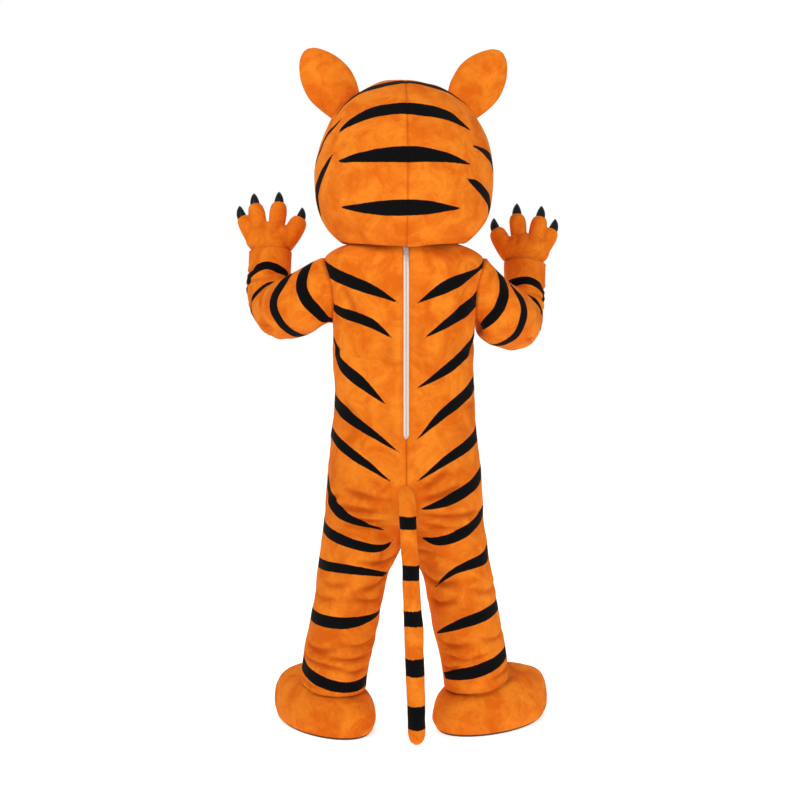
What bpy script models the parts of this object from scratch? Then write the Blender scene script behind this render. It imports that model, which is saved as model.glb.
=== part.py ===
"""Tiger mascot costume: plush jumpsuit with a back zip, hollow head, paw gloves, boots and tail.

Heights are metres above the floor the boots stand on. The wearer faces -Y and stands at x = 0.
The finished parts hang from an empty that puts the origin at the neck opening, where the
wearer's shoulders carry the costume.
"""

import math
from collections import namedtuple

import bmesh
import bpy
from mathutils import Matrix, Vector

# ---------------------------------------------------------------- driving sizes, in metres
NECK_HEIGHT = 1.41            # the origin: the neck opening's centre above the floor
SEAM_GAP = 0.0004             # between two sewn edges
FACE_LIFT = 0.0014            # a flat-faceted piece that lies on the round head stands this far off it
CLOTH = 0.003                 # plush with its backing
HEAD_SHELL = 0.012            # foam shell covered with plush
COLUMNS = 6                   # faces across a suit panel
PLAN_FULLNESS = 0.85          # 1 is an ellipse, less is a squarer torso

HIP_HEIGHT = 0.66             # the torso starts to part into legs here
CROTCH_HEIGHT = 0.555         # and is two legs from here down
HEM_HEIGHT = 0.135

ARMHOLE_HEIGHT = 1.29
ARMHOLE_RISE = 0.095          # half its height
ARMHOLE_DEPTH = 0.068         # half its depth
ARMHOLE_STEPS = 8

ZIP_BOTTOM = 0.875
ZIP_HALF_SLOT = 0.008
ZIP_END = 0.012               # length over which the slot closes below the zip

SLIDER_HEIGHT = 1.416         # the slider's middle, as a row of the suit
SLIDER_LIFT = 0.0012          # its plate stands this far off the line of the centre back
SLIDER_SIZE = (0.010, 0.0036, 0.015)
BAIL_RISE = 0.0038            # the loop on the slider that the pull hangs from
BAIL_HALF_LENGTH = 0.0034
BAIL_WIDTH = 0.0016
BAIL_THICK = 0.0012
PULL_PIVOT = 0.0015           # the pull's axis above the slider's plate
PULL_SIZE = (0.0062, 0.0012, 0.027)
PULL_WINDOW = 0.0030

HEAD_WAIST = 1.605            # height of the head's widest ring
HEAD_HALF_WIDTH = 0.262
HEAD_BACK = 0.250
HEAD_FRONT = 0.240
HEAD_UP = 0.298
HEAD_DOWN = 0.228
HEAD_UP_FULLNESS = 2.15
HEAD_DOWN_FULLNESS = 2.3
RIM_HEIGHT = 1.409            # the head's lower edge at the nape and chin
RIM_SIDE_RISE = 0.018         # it is higher over the shoulders

ANKLE_X = {1: 0.206, -1: 0.218}
LEG_OUT = {1: 0.0, -1: 0.008}  # how much further out a lower leg stands than the table says
TOE_OUT = {1: math.radians(35), -1: math.radians(54)}   # left boot, right boot
SOLE_THICKNESS = 0.008

# ---------------------------------------------------------------- section tables
Torso = namedtuple("Torso", "height half_width back front back_drop front_drop")
TORSO = [
    Torso(0.500, 0.235, 0.160, 0.152, 0.000, 0.000),
    Torso(0.620, 0.234, 0.168, 0.158, 0.000, 0.000),
    Torso(0.730, 0.227, 0.163, 0.162, 0.000, 0.000),
    Torso(0.850, 0.215, 0.153, 0.163, 0.000, 0.000),
    Torso(0.965, 0.208, 0.148, 0.162, 0.000, 0.000),
    Torso(1.080, 0.206, 0.148, 0.158, 0.000, 0.000),
    Torso(1.195, 0.210, 0.150, 0.152, 0.000, 0.000),
    Torso(1.290, 0.227, 0.149, 0.142, 0.006, 0.006),
    Torso(1.385, 0.232, 0.145, 0.126, 0.020, 0.026),
    Torso(1.413, 0.196, 0.141, 0.115, 0.024, 0.034),
    Torso(1.440, 0.128, 0.131, 0.100, 0.026, 0.046),
]

Leg = namedtuple("Leg", "height centre half_width back front tilt")
LEG = [
    Leg(0.100, 0.207, 0.094, 0.094, 0.094, 0.018),
    Leg(0.160, 0.205, 0.098, 0.100, 0.099, 0.016),
    Leg(0.227, 0.195, 0.100, 0.105, 0.103, 0.010),
    Leg(0.286, 0.183, 0.099, 0.107, 0.105, 0.004),
    Leg(0.375, 0.166, 0.101, 0.114, 0.110, 0.000),
    Leg(0.463, 0.148, 0.106, 0.123, 0.117, 0.000),
    Leg(0.552, 0.123, 0.119, 0.134, 0.127, 0.000),
    Leg(0.660, 0.117, 0.117, 0.150, 0.142, 0.000),
]
LEG_HEIGHTS = (HEM_HEIGHT, 0.175, 0.23, 0.30, 0.38, 0.46, 0.515)
CROTCH_HEIGHTS = (CROTCH_HEIGHT, 0.580, 0.608, 0.634)
TORSO_HEIGHTS = (HIP_HEIGHT, 0.76, 0.98, 1.09)
ZIP_END_HEIGHTS = (ZIP_BOTTOM - ZIP_END, ZIP_BOTTOM)
SHOULDER_HEIGHTS = (1.402, 1.42, 1.44)

Arm = namedtuple("Arm", "x y height radius")
ARMS = {
    1: [
        Arm(0.285, -0.016, 1.261, 0.092),
        Arm(0.334, -0.056, 1.238, 0.089),
        Arm(0.366, -0.106, 1.228, 0.082),
        Arm(0.388, -0.152, 1.238, 0.073),
        Arm(0.403, -0.188, 1.278, 0.068),
        Arm(0.407, -0.214, 1.342, 0.066),
        Arm(0.407, -0.234, 1.412, 0.066),
    ],
    -1: [
        Arm(-0.272, -0.013, 1.231, 0.094),
        Arm(-0.316, -0.056, 1.207, 0.089),
        Arm(-0.341, -0.106, 1.194, 0.081),
        Arm(-0.357, -0.156, 1.204, 0.074),
        Arm(-0.373, -0.196, 1.246, 0.068),
        Arm(-0.384, -0.222, 1.308, 0.065),
        Arm(-0.391, -0.240, 1.378, 0.066),
    ],
}
RINGS_BETWEEN_ARM_ROWS = 2

Finger = namedtuple("Finger", "name root_across root_along tip_across tip_along radius")
FINGERS = [
    Finger("little", 0.040, 0.024, 0.081, 0.122, 0.0250),
    Finger("ring", 0.026, 0.062, 0.038, 0.160, 0.0265),
    Finger("index", -0.022, 0.062, -0.037, 0.160, 0.0265),
    Finger("thumb", -0.046, 0.012, -0.101, 0.104, 0.0280),
]
FINGER_PROFILE = ((0.0, 0.80), (0.35, 0.96), (0.72, 1.0), (0.92, 0.86), (1.0, 0.62))
HAND_ROLL = {1: math.radians(4), -1: math.radians(6)}
HAND_LEAN = math.radians(14)
PALM_CENTRE = 0.047           # along the hand from the wrist
PALM_SIZE = (0.075, 0.046, 0.053)
PALM_SIDES = 14
CUFF_RADIUS = 0.057
CUFF_LENGTH = 0.055
CUFF_PROFILE = ((0.0, 1.0), (0.45, 1.0), (0.65, 0.93), (0.82, 0.78), (1.0, 0.50))
GLOVE_WALL = 0.0045
CLAW_RADIUS = 0.0150
CLAW_LENGTH = 0.040
CLAW_UPRIGHT = 0.6            # how far a claw turns from its finger's line to the hand's
CLAW_BEND = 0.006
CLAW_PROFILE = ((0.0, 1.0), (0.35, 0.90), (0.70, 0.60), (0.92, 0.26))

Boot = namedtuple("Boot", "height forward half_length half_width rise wall")
BOOT = [
    Boot(0.0084, 0.052, 0.190, 0.113, 0.000, 0.014),
    Boot(0.0400, 0.056, 0.200, 0.122, 0.000, 0.014),
    Boot(0.0780, 0.059, 0.197, 0.121, 0.006, 0.014),
    Boot(0.1120, 0.057, 0.177, 0.111, 0.014, 0.013),
    Boot(0.1290, 0.042, 0.136, 0.096, 0.020, 0.011),
    Boot(0.1330, 0.004, 0.086, 0.084, 0.012, 0.007),
    Boot(0.1520, 0.000, 0.080, 0.080, 0.004, 0.004),
    Boot(0.1900, 0.000, 0.079, 0.079, 0.000, 0.004),
]
BOOT_HALF_COLUMNS = 9

FacePiece = namedtuple(
    "FacePiece", "turn height half_width half_height edge bulge rings around finish on"
)
FACE = {
    "muzzle": FacePiece(0.00, 1.535, 0.125, 0.072, 0.006, 0.062, 4, 18, "cream_plush", None),
    "nose": FacePiece(0.00, 1.566, 0.036, 0.024, 0.003, 0.020, 3, 14, "black_vinyl", "muzzle"),
    "eye_left": FacePiece(-0.36, 1.672, 0.040, 0.052, 0.003, 0.012, 3, 16, "white_eye", None),
    "eye_right": FacePiece(0.36, 1.672, 0.040, 0.052, 0.003, 0.012, 3, 16, "white_eye", None),
    "pupil_left": FacePiece(-0.33, 1.664, 0.020, 0.027, 0.001, 0.003, 2, 12, "black_vinyl", "eye_left"),
    "pupil_right": FacePiece(0.33, 1.664, 0.020, 0.027, 0.001, 0.003, 2, 12, "black_vinyl", "eye_right"),
}

EarRow = namedtuple("EarRow", "along half_width half_thickness")
EAR_ROWS = [
    EarRow(0.000, 0.056, 0.014),
    EarRow(0.040, 0.069, 0.019),
    EarRow(0.085, 0.075, 0.020),
    EarRow(0.130, 0.067, 0.018),
    EarRow(0.165, 0.049, 0.015),
    EarRow(0.190, 0.027, 0.011),
    EarRow(0.199, 0.010, 0.007),
]
EAR_FOOT = (0.170, -0.012, 1.832)
EAR_SPREAD = math.radians(36)
EAR_EDGE = 0.30               # an ear's thickness at its seam, as a share of its middle

Tail = namedtuple("Tail", "x behind height radius")
TAIL = [
    Tail(0.000, 0.000, 0.716, 0.021),
    Tail(0.000, 0.022, 0.706, 0.022),
    Tail(-0.001, 0.040, 0.678, 0.023),
    Tail(-0.003, 0.047, 0.620, 0.023),
    Tail(-0.009, 0.050, 0.500, 0.024),
    Tail(-0.016, 0.050, 0.370, 0.025),
    Tail(-0.021, 0.050, 0.240, 0.026),
    Tail(-0.025, 0.050, 0.120, 0.027),
    Tail(-0.027, 0.050, 0.055, 0.027),
    Tail(-0.027, 0.050, 0.030, 0.021),
    Tail(-0.027, 0.050, 0.019, 0.010),
]

Finish = namedtuple("Finish", "colour roughness metallic")
FINISHES = {
    "orange_plush": Finish((0.80, 0.25, 0.02, 1), 0.95, 0.0),
    "cream_plush": Finish((0.85, 0.76, 0.60, 1), 0.95, 0.0),
    "black_vinyl": Finish((0.012, 0.012, 0.013, 1), 0.40, 0.0),
    "white_eye": Finish((0.85, 0.85, 0.83, 1), 0.35, 0.0),
    "sole_rubber": Finish((0.05, 0.035, 0.03, 1), 0.80, 0.0),
    "zip_tape": Finish((0.85, 0.80, 0.76, 1), 0.80, 0.0),
    "zip_metal": Finish((0.70, 0.68, 0.66, 1), 0.35, 1.0),
}


# ---------------------------------------------------------------- scene and helpers
def clear_scene():
    for obj in list(bpy.data.objects):
        bpy.data.objects.remove(obj)


def material(name):
    made = bpy.data.materials.get(name)
    if made:
        return made
    finish = FINISHES[name]
    made = bpy.data.materials.new(name)
    made.use_nodes = True
    shader = made.node_tree.nodes["Principled BSDF"]
    shader.inputs["Base Color"].default_value = finish.colour
    shader.inputs["Roughness"].default_value = finish.roughness
    shader.inputs["Metallic"].default_value = finish.metallic
    return made


def smooth(rows, column, at):
    """A Catmull-Rom curve through one column of a table, read at a value of its first column."""
    keys = [row[0] for row in rows]
    values = [getattr(row, column) for row in rows]
    at = min(max(at, keys[0]), keys[-1])
    i = max(k for k in range(len(keys) - 1) if keys[k] <= at)

    def slope(k):
        low, high = max(k - 1, 0), min(k + 1, len(keys) - 1)
        return (values[high] - values[low]) / (keys[high] - keys[low])

    span = keys[i + 1] - keys[i]
    t = (at - keys[i]) / span
    return (
        values[i] * (1 + 2 * t) * (1 - t) ** 2
        + values[i + 1] * t * t * (3 - 2 * t)
        + slope(i) * span * t * (1 - t) ** 2
        - slope(i + 1) * span * t * t * (1 - t)
    )


def ease(t):
    t = min(max(t, 0.0), 1.0)
    return t * t * (3 - 2 * t)


def add_object(name, mesh, finish, collection):
    mesh.materials.append(material(finish))
    mesh.shade_smooth()
    mesh.set_sharp_from_angle(angle=math.radians(50))
    obj = bpy.data.objects.new(name, mesh)
    obj.parent = costume
    collection.objects.link(obj)
    return obj


def as_helper(obj):
    obj.hide_render = True
    obj.display_type = "WIRE"
    return obj


def face_outwards(bm):
    bmesh.ops.recalc_face_normals(bm, faces=bm.faces)
    if bm.calc_volume(signed=True) < 0:
        bmesh.ops.reverse_faces(bm, faces=bm.faces)


def shell(name, outer, inner, finish, wrap=False, collection=None):
    """A closed wall between two grids of points with the same rows and columns."""
    rows, columns = len(outer), len(outer[0])
    bm = bmesh.new()
    layers = [[[bm.verts.new(p) for p in row] for row in grid] for grid in (outer, inner)]
    last = columns if wrap else columns - 1
    for r in range(rows - 1):
        for c in range(last):
            d = (c + 1) % columns
            for layer in layers:
                bm.faces.new((layer[r][c], layer[r][d], layer[r + 1][d], layer[r + 1][c]))
    out, back = layers
    for r in (0, rows - 1):
        for c in range(last):
            d = (c + 1) % columns
            bm.faces.new((out[r][c], out[r][d], back[r][d], back[r][c]))
    if not wrap:
        for c in (0, columns - 1):
            for r in range(rows - 1):
                bm.faces.new((out[r][c], out[r + 1][c], back[r + 1][c], back[r][c]))
    bmesh.ops.remove_doubles(bm, verts=bm.verts, dist=2e-5)
    bmesh.ops.dissolve_degenerate(bm, edges=bm.edges, dist=1e-5)
    face_outwards(bm)
    mesh = bpy.data.meshes.new(name)
    bm.to_mesh(mesh)
    bm.free()
    return add_object(name, mesh, finish, collection or parts)


def loft(name, rings, finish, collection=None):
    """A solid through closed rings of points, with both ends capped."""
    bm = bmesh.new()
    layers = [[bm.verts.new(p) for p in ring] for ring in rings]
    count = len(rings[0])
    for low, high in zip(layers, layers[1:]):
        for c in range(count):
            d = (c + 1) % count
            bm.faces.new((low[c], low[d], high[d], high[c]))
    bm.faces.new(layers[0])
    bm.faces.new(layers[-1])
    face_outwards(bm)
    mesh = bpy.data.meshes.new(name)
    bm.to_mesh(mesh)
    bm.free()
    return add_object(name, mesh, finish, collection or parts)


def drawn_in(grid, wrap=False):
    """The grid with its border rows and columns moved half a seam gap towards their neighbours."""
    moved = [[p.copy() for p in row] for row in grid]

    def pull(point, neighbour):
        way = neighbour - point
        if way.length > SEAM_GAP:
            point += way.normalized() * (SEAM_GAP / 2)

    for c in range(len(grid[0])):
        pull(moved[0][c], grid[1][c])
        pull(moved[-1][c], grid[-2][c])
    if not wrap:
        for r in range(len(grid)):
            pull(moved[r][0], grid[r][1])
            pull(moved[r][-1], grid[r][-2])
    return moved


def ring_about(centre, tangent, down, radius, count, handed=1):
    """Points round a tube: the first is on its `down` side, then the way that `handed` gives."""
    tangent = tangent.normalized()
    down = (down - tangent * down.dot(tangent)).normalized()
    across = tangent.cross(down) * handed
    angles = [2 * math.pi * i / count for i in range(count)]
    return [centre + radius * (math.cos(a) * down + math.sin(a) * across) for a in angles]


def boolean(obj, other, operation, solver="EXACT"):
    modifier = obj.modifiers.new(operation.title(), "BOOLEAN")
    modifier.solver = solver
    modifier.operation = operation
    modifier.object = other


# ---------------------------------------------------------------- the suit
def torso_point(height, turn, front):
    """turn is 0 at the centre seam and a right angle at the side."""
    depth = smooth(TORSO, "front" if front else "back", height)
    drop = smooth(TORSO, "front_drop" if front else "back_drop", height)
    y = depth * max(math.cos(turn), 0.0) ** PLAN_FULLNESS
    x = smooth(TORSO, "half_width", height) * math.sin(turn)
    return Vector((x, -y if front else y, height - drop * math.cos(turn) ** 2))


def leg_point(height, share, front, side):
    """share is 0 at the inseam and 1 at the outer seam."""
    angle = math.pi * (1 - share)
    depth = smooth(LEG, "front" if front else "back", height) * math.sin(angle)
    across = smooth(LEG, "half_width", height) * math.cos(angle)
    y = -depth if front else depth
    toe = Vector((math.sin(TOE_OUT[side]), -math.cos(TOE_OUT[side])))
    way = Vector((across, y)).normalized()
    lift = smooth(LEG, "tilt", height) * way.dot(toe)
    centre = smooth(LEG, "centre", height) + LEG_OUT[side] * ease((0.60 - height) / 0.20)
    return Vector((centre + across, y, height + lift))


def slot_half_width(height):
    """How far the back panels stand from the middle where the zip shows."""
    if height > ZIP_BOTTOM:
        return ZIP_HALF_SLOT
    return ZIP_HALF_SLOT * ease(1 - (ZIP_BOTTOM - height) / ZIP_END)


def edge_turn(height, front):
    """Where a row of the torso stops: at the side seam, or at the armhole's edge."""
    rise = (height - ARMHOLE_HEIGHT) / ARMHOLE_RISE
    if abs(rise) >= 1:
        return math.pi / 2
    edge = ARMHOLE_DEPTH * math.sqrt(1 - rise * rise)
    depth = smooth(TORSO, "front" if front else "back", height)
    return math.acos((edge / depth) ** (1 / PLAN_FULLNESS))


def suit_point(height, share, front, side):
    """A point of the suit's left half; the right half is its mirror image."""
    legs = ease((HIP_HEIGHT - height) / (HIP_HEIGHT - CROTCH_HEIGHT))
    start = 0.0 if front else math.asin(
        slot_half_width(height) / smooth(TORSO, "half_width", height)
    )
    turn = start + (edge_turn(height, front) - start) * share
    if legs <= 0:
        return torso_point(height, turn, front)
    if legs >= 1:
        return leg_point(height, share, front, side)
    return torso_point(height, turn, front).lerp(leg_point(height, share, front, side), legs)


def suit_normal(height, share, front, side):
    step = 0.004
    low, high = max(share - step, 0.0), min(share + step, 1.0)
    along = suit_point(height, high, front, side) - suit_point(height, low, front, side)
    top = TORSO[-1].height
    up = suit_point(min(height + step, top), share, front, side) - suit_point(
        height - step, share, front, side
    )
    normal = along.cross(up) if front else up.cross(along)
    if share == 0 and height > CROTCH_HEIGHT:
        normal.x = min(normal.x, 0.0)
    if share == 1 and abs(height - ARMHOLE_HEIGHT) >= ARMHOLE_RISE:
        normal.y = 0.0
    if share == 0 and height <= CROTCH_HEIGHT:
        normal.y = 0.0
    return normal.normalized()


def armhole_heights():
    steps = [math.pi * i / ARMHOLE_STEPS for i in range(ARMHOLE_STEPS + 1)]
    return [ARMHOLE_HEIGHT - ARMHOLE_RISE * math.cos(a) for a in steps]


def suit_heights():
    rows = (LEG_HEIGHTS, CROTCH_HEIGHTS, TORSO_HEIGHTS, ZIP_END_HEIGHTS, armhole_heights(), SHOULDER_HEIGHTS)
    return sorted(height for group in rows for height in group)


def suit_panel(name, side, front):
    outer, inner = [], []
    for height in suit_heights():
        shares = [c / COLUMNS for c in range(COLUMNS + 1)]
        points = [suit_point(height, s, front, side) for s in shares]
        normals = [suit_normal(height, s, front, side) for s in shares]
        outer.append(points)
        inner.append([p - n * CLOTH for p, n in zip(points, normals)])
    grids = [drawn_in(outer), drawn_in(inner)]
    for p in (p for grid in grids for row in grid for p in row):
        p.x = side * max(p.x, SEAM_GAP / 2)
    return shell(name, *grids, "orange_plush")


def centre_back(height):
    """The point and outward direction of the centre back at a height of the side seam."""
    here = torso_point(height, 0, False)
    above = torso_point(height + 0.002, 0, False)
    up = (above - here).normalized()
    return here, Vector((0, up.z, -up.y)), up


# ---------------------------------------------------------------- sleeves
def armhole_ring(side):
    heights = armhole_heights()
    back = [torso_point(h, edge_turn(h, False), False) for h in heights]
    front = [torso_point(h, edge_turn(h, True), True) for h in heights]
    return [p * Vector((side, 1, 1)) for p in back + front[-2:0:-1]]


def arm_path(side):
    """Points and radii down the middle of a sleeve, from the armhole to the hem."""
    start = Arm(side * 0.226, 0.0, ARMHOLE_HEIGHT, ARMHOLE_RISE)
    rows = [start, *ARMS[side]]
    keyed = namedtuple("Keyed", "step x y height radius")
    table = [keyed(i, *row) for i, row in enumerate(rows)]
    count = RINGS_BETWEEN_ARM_ROWS * (len(rows) - 1)
    steps = [i / RINGS_BETWEEN_ARM_ROWS for i in range(count + 1)]
    return [
        (Vector([smooth(table, c, s) for c in ("x", "y", "height")]), smooth(table, "radius", s))
        for s in steps
    ]


def sleeve(name, side):
    path = arm_path(side)
    root = armhole_ring(side)
    count = len(root)
    outer, inner = [root], []
    down = Vector((0, 0, -1))
    axis = Vector((side, 0, 0))
    root_centre = sum(root, Vector()) / count
    inner.append([p + (root_centre - p).normalized() * CLOTH for p in root])
    for i in range(1, len(path)):
        centre, radius = path[i]
        ahead = path[min(i + 1, len(path) - 1)][0]
        axis = (ahead - path[i - 1][0]).normalized()
        down = (down - axis * down.dot(axis)).normalized()
        blend = ease(i / 3)
        rings = []
        for wall in (0.0, CLOTH):
            tube = ring_about(centre, axis, down, radius - wall, count, side)
            lifted = [p + (centre - root_centre) for p in (root, inner[0])[wall > 0]]
            rings.append([a.lerp(b, blend) for a, b in zip(lifted, tube)])
        outer.append(rings[0])
        inner.append(rings[1])
    return shell(name, drawn_in(outer, True), drawn_in(inner, True), "orange_plush", wrap=True)


# ---------------------------------------------------------------- zip
def zip_strip(name, finish, x_low, x_high, depth_out, depth_in, heights):
    outer, inner = [], []
    for height in heights:
        point, out, _ = centre_back(height)
        for grid, depth in ((outer, depth_out), (inner, depth_in)):
            grid.append([point + out * depth + Vector((x, 0, 0)) for x in (x_low, x_high)])
    return shell(name, outer, inner, finish)


def build_zip():
    heights = [height for height in suit_heights() if height >= ZIP_BOTTOM - ZIP_END]
    tape = -CLOTH - 0.0014
    zip_strip("zip_tape_left", "zip_tape", 0.0003, 0.015, tape, tape - 0.001, heights)
    zip_strip("zip_tape_right", "zip_tape", -0.015, -0.0003, tape, tape - 0.001, heights)
    zip_strip("zip_teeth", "zip_tape", -0.003, 0.003, tape + 0.0032, tape + 0.0004, heights[1:-1])
    build_slider()


def block(name, size, place, finish, collection, bevel=0.0):
    bm = bmesh.new()
    bmesh.ops.create_cube(bm, size=1, matrix=place @ Matrix.Diagonal((*size, 1)))
    face_outwards(bm)
    mesh = bpy.data.meshes.new(name)
    bm.to_mesh(mesh)
    bm.free()
    obj = add_object(name, mesh, finish, collection)
    if bevel:
        modifier = obj.modifiers.new("Bevel", "BEVEL")
        modifier.width = bevel
        modifier.segments = 1
    return obj


def slider_frame():
    """The slider's middle: X across, Y out of the back and Z up along the zip."""
    point, out, up = centre_back(SLIDER_HEIGHT)
    turned = Matrix((Vector((1, 0, 0)), out, up)).transposed()
    return Matrix.Translation(point) @ turned.to_4x4()


def build_slider():
    base = slider_frame()
    width, depth, length = SLIDER_SIZE
    plate = base @ Matrix.Translation((0, SLIDER_LIFT + depth / 2, 0))
    slider = block("zip_slider", SLIDER_SIZE, plate, "zip_metal", parts, bevel=0.0008)
    top = SLIDER_LIFT + depth
    for name, size, out, along in (
        ("bail_foot", (BAIL_WIDTH, BAIL_RISE + 0.001, BAIL_THICK), (BAIL_RISE - 0.001) / 2, -BAIL_HALF_LENGTH),
        ("bail_head", (BAIL_WIDTH, BAIL_RISE + 0.001, BAIL_THICK), (BAIL_RISE - 0.001) / 2, BAIL_HALF_LENGTH),
        ("bail_bridge", (BAIL_WIDTH, BAIL_THICK, 2 * BAIL_HALF_LENGTH + BAIL_THICK), BAIL_RISE - BAIL_THICK / 2, 0),
    ):
        place = base @ Matrix.Translation((0, top + out, along))
        boolean(slider, as_helper(block(name, size, place, "zip_metal", cutters)), "UNION")

    hinge = bpy.data.objects.new("zip_pull_hinge", None)
    hinge.parent = costume
    hinge.matrix_local = base @ Matrix.Translation((0, top + PULL_PIVOT, 0))
    parts.objects.link(hinge)
    hang = Matrix.Translation((0, 0, PULL_SIZE[1] / 2 - PULL_SIZE[2] / 2))
    pull = block("zip_pull", PULL_SIZE, hang, "zip_metal", parts)
    for name, length, along in (("bail_window", 0.0060, -0.0036), ("grip_window", 0.0090, -0.0165)):
        hole = block(name, (PULL_WINDOW, 0.01, length), Matrix.Translation((0, 0, along)), "zip_metal", cutters)
        hole.parent = hinge
        boolean(pull, as_helper(hole), "DIFFERENCE")
    pull.parent = hinge


# ---------------------------------------------------------------- head
def head_point(turn, height):
    """turn is 0 at the back, a right angle at the left side and pi at the face."""
    up = height >= HEAD_WAIST
    reach = HEAD_UP if up else HEAD_DOWN
    power = HEAD_UP_FULLNESS if up else HEAD_DOWN_FULLNESS
    rise = min(abs(height - HEAD_WAIST) / reach, 1.0)
    size = (1 - rise**power) ** (1 / power)
    depth = HEAD_BACK if math.cos(turn) > 0 else HEAD_FRONT
    return Vector((HEAD_HALF_WIDTH * math.sin(turn), depth * math.cos(turn), 0)) * size + Vector(
        (0, 0, height)
    )


def head_normal(turn, height):
    step = 0.002
    if height > HEAD_WAIST + HEAD_UP - 2 * step:
        return Vector((0, 0, 1))
    along = head_point(turn + step, height) - head_point(turn - step, height)
    up = head_point(turn, height + step) - head_point(turn, height - step)
    return up.cross(along).normalized()


def head_heights(turn, rows):
    """Heights from the rim to the crown, closer together near the crown."""
    rim = RIM_HEIGHT + RIM_SIDE_RISE * math.sin(turn) ** 2
    low = math.asin(-(((HEAD_WAIST - rim) / HEAD_DOWN) ** (HEAD_DOWN_FULLNESS / 2)))
    found = []
    for r in range(rows + 1):
        angle = low + (math.pi / 2 - low) * r / rows
        up = angle > 0
        power = HEAD_UP_FULLNESS if up else HEAD_DOWN_FULLNESS
        reach = HEAD_UP if up else -HEAD_DOWN
        found.append(HEAD_WAIST + reach * abs(math.sin(angle)) ** (2 / power))
    return found


def head_panel(name, turn_low, turn_high, columns, rows=12):
    turns = [turn_low + (turn_high - turn_low) * c / columns for c in range(columns + 1)]
    levels = [head_heights(t, rows) for t in turns]
    outer = [[head_point(t, levels[c][r]) for c, t in enumerate(turns)] for r in range(rows + 1)]
    inner = [
        [outer[r][c] - head_normal(t, levels[c][r]) * HEAD_SHELL for c, t in enumerate(turns)]
        for r in range(rows + 1)
    ]
    middle = (turn_low + turn_high) / 2
    aside = Vector((math.sin(middle), math.cos(middle), 0)) * SEAM_GAP
    for grid in (outer, inner):
        grid[-1] = [grid[-1][0] + aside] * (columns + 1)
    return shell(name, drawn_in(outer), drawn_in(inner), "orange_plush")


def stand_off(piece, turn, height):
    """How far a face piece's outer surface stands off the head, with anything it lies on."""
    base = stand_off(FACE[piece.on], turn, height) if piece.on else 0.0
    across = (turn - math.pi - piece.turn) * HEAD_HALF_WIDTH / piece.half_width
    share = min(math.hypot(across, (height - piece.height) / piece.half_height), 1.0)
    return base + FACE_LIFT + piece.edge + piece.bulge * math.sqrt(1 - 0.96 * share**2)


def face_piece(name):
    piece = FACE[name]
    outer, inner = [], []
    for k in range(piece.rings + 1):
        out_row, in_row = [], []
        for i in range(piece.around):
            a = 2 * math.pi * i / piece.around
            share = k / piece.rings
            turn = math.pi + piece.turn + piece.half_width * share * math.cos(a) / HEAD_HALF_WIDTH
            height = piece.height + piece.half_height * share * math.sin(a)
            point, normal = head_point(turn, height), head_normal(turn, height)
            below = stand_off(FACE[piece.on], turn, height) if piece.on else 0.0
            out_row.append(point + normal * stand_off(piece, turn, height))
            in_row.append(point + normal * (below + FACE_LIFT))
        outer.append(out_row)
        inner.append(in_row)
    for grid in (outer, inner):
        grid[0] = [sum(grid[0], Vector()) / piece.around] * piece.around
    return shell(name, outer, inner, piece.finish, wrap=True)


def on_head(point, way):
    """The point where a line meets the head, coming from outside along `way`."""
    near, far = -0.10, 0.10
    for _ in range(40):
        middle = (near + far) / 2
        p = point + way * middle
        reach = HEAD_UP
        rise = min(abs(p.z - HEAD_WAIST) / reach, 1.0)
        size = (1 - rise**HEAD_UP_FULLNESS) ** (1 / HEAD_UP_FULLNESS)
        depth = HEAD_BACK if p.y > 0 else HEAD_FRONT
        spread = math.hypot(p.x / HEAD_HALF_WIDTH, p.y / depth)
        if spread > size:
            near = middle
        else:
            far = middle
    return point + way * near


def ear(name, side):
    axis = Vector((side * math.sin(EAR_SPREAD), 0, math.cos(EAR_SPREAD)))
    across = Vector((side * math.cos(EAR_SPREAD), 0, -math.sin(EAR_SPREAD)))
    out = Vector((0, 1, 0))
    foot = Vector((side * EAR_FOOT[0], EAR_FOOT[1], EAR_FOOT[2]))
    shares = [-1, -0.8, -0.45, 0, 0.45, 0.8, 1]
    grids = ([], [])
    for row in EAR_ROWS:
        for grid, face in zip(grids, (1, -1)):
            points = []
            for s in shares:
                dome = EAR_EDGE + (1 - EAR_EDGE) * math.sqrt(1 - s * s)
                bow = 0.018 * (s * s - 0.4) * row.half_width / 0.07
                p = foot + axis * row.along + across * (s * row.half_width)
                p += out * (face * row.half_thickness * dome - bow)
                if row.along == 0:
                    p = on_head(p, -axis) + axis * 0.0008
                points.append(p)
            grid.append(points)
    return shell(name, *grids, "orange_plush")


def build_head():
    quarter = math.pi / 2
    head_panel("head_back_left", 0, quarter, 7)
    head_panel("head_back_right", -quarter, 0, 7)
    head_panel("head_face", quarter, 3 * quarter, 14)
    ear("ear_left", 1)
    ear("ear_right", -1)
    for name in FACE:
        face_piece(name)


# ---------------------------------------------------------------- gloves
def hand_frame(side):
    """Across, out of the back of the hand, and along the hand, from the middle of the wrist."""
    wrist = Vector(ARMS[side][-1][:3])
    lean = Matrix.Rotation(HAND_LEAN, 4, "X")
    roll = Matrix.Rotation(side * HAND_ROLL[side], 4, "Y")
    turn = Matrix.Diagonal((side, 1, 1, 1))
    return Matrix.Translation(wrist) @ lean @ roll @ turn


def hand_tube(name, frame, start, end, radius, wall, profile, collection, count=9):
    axis = (end - start)
    rings = []
    for share, size in profile:
        ring = ring_about(start + axis * share, axis, Vector((0, -1, 0)), radius * size - wall, count)
        rings.append([frame @ p for p in ring])
    return loft(name, rings, "orange_plush", collection)


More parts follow.
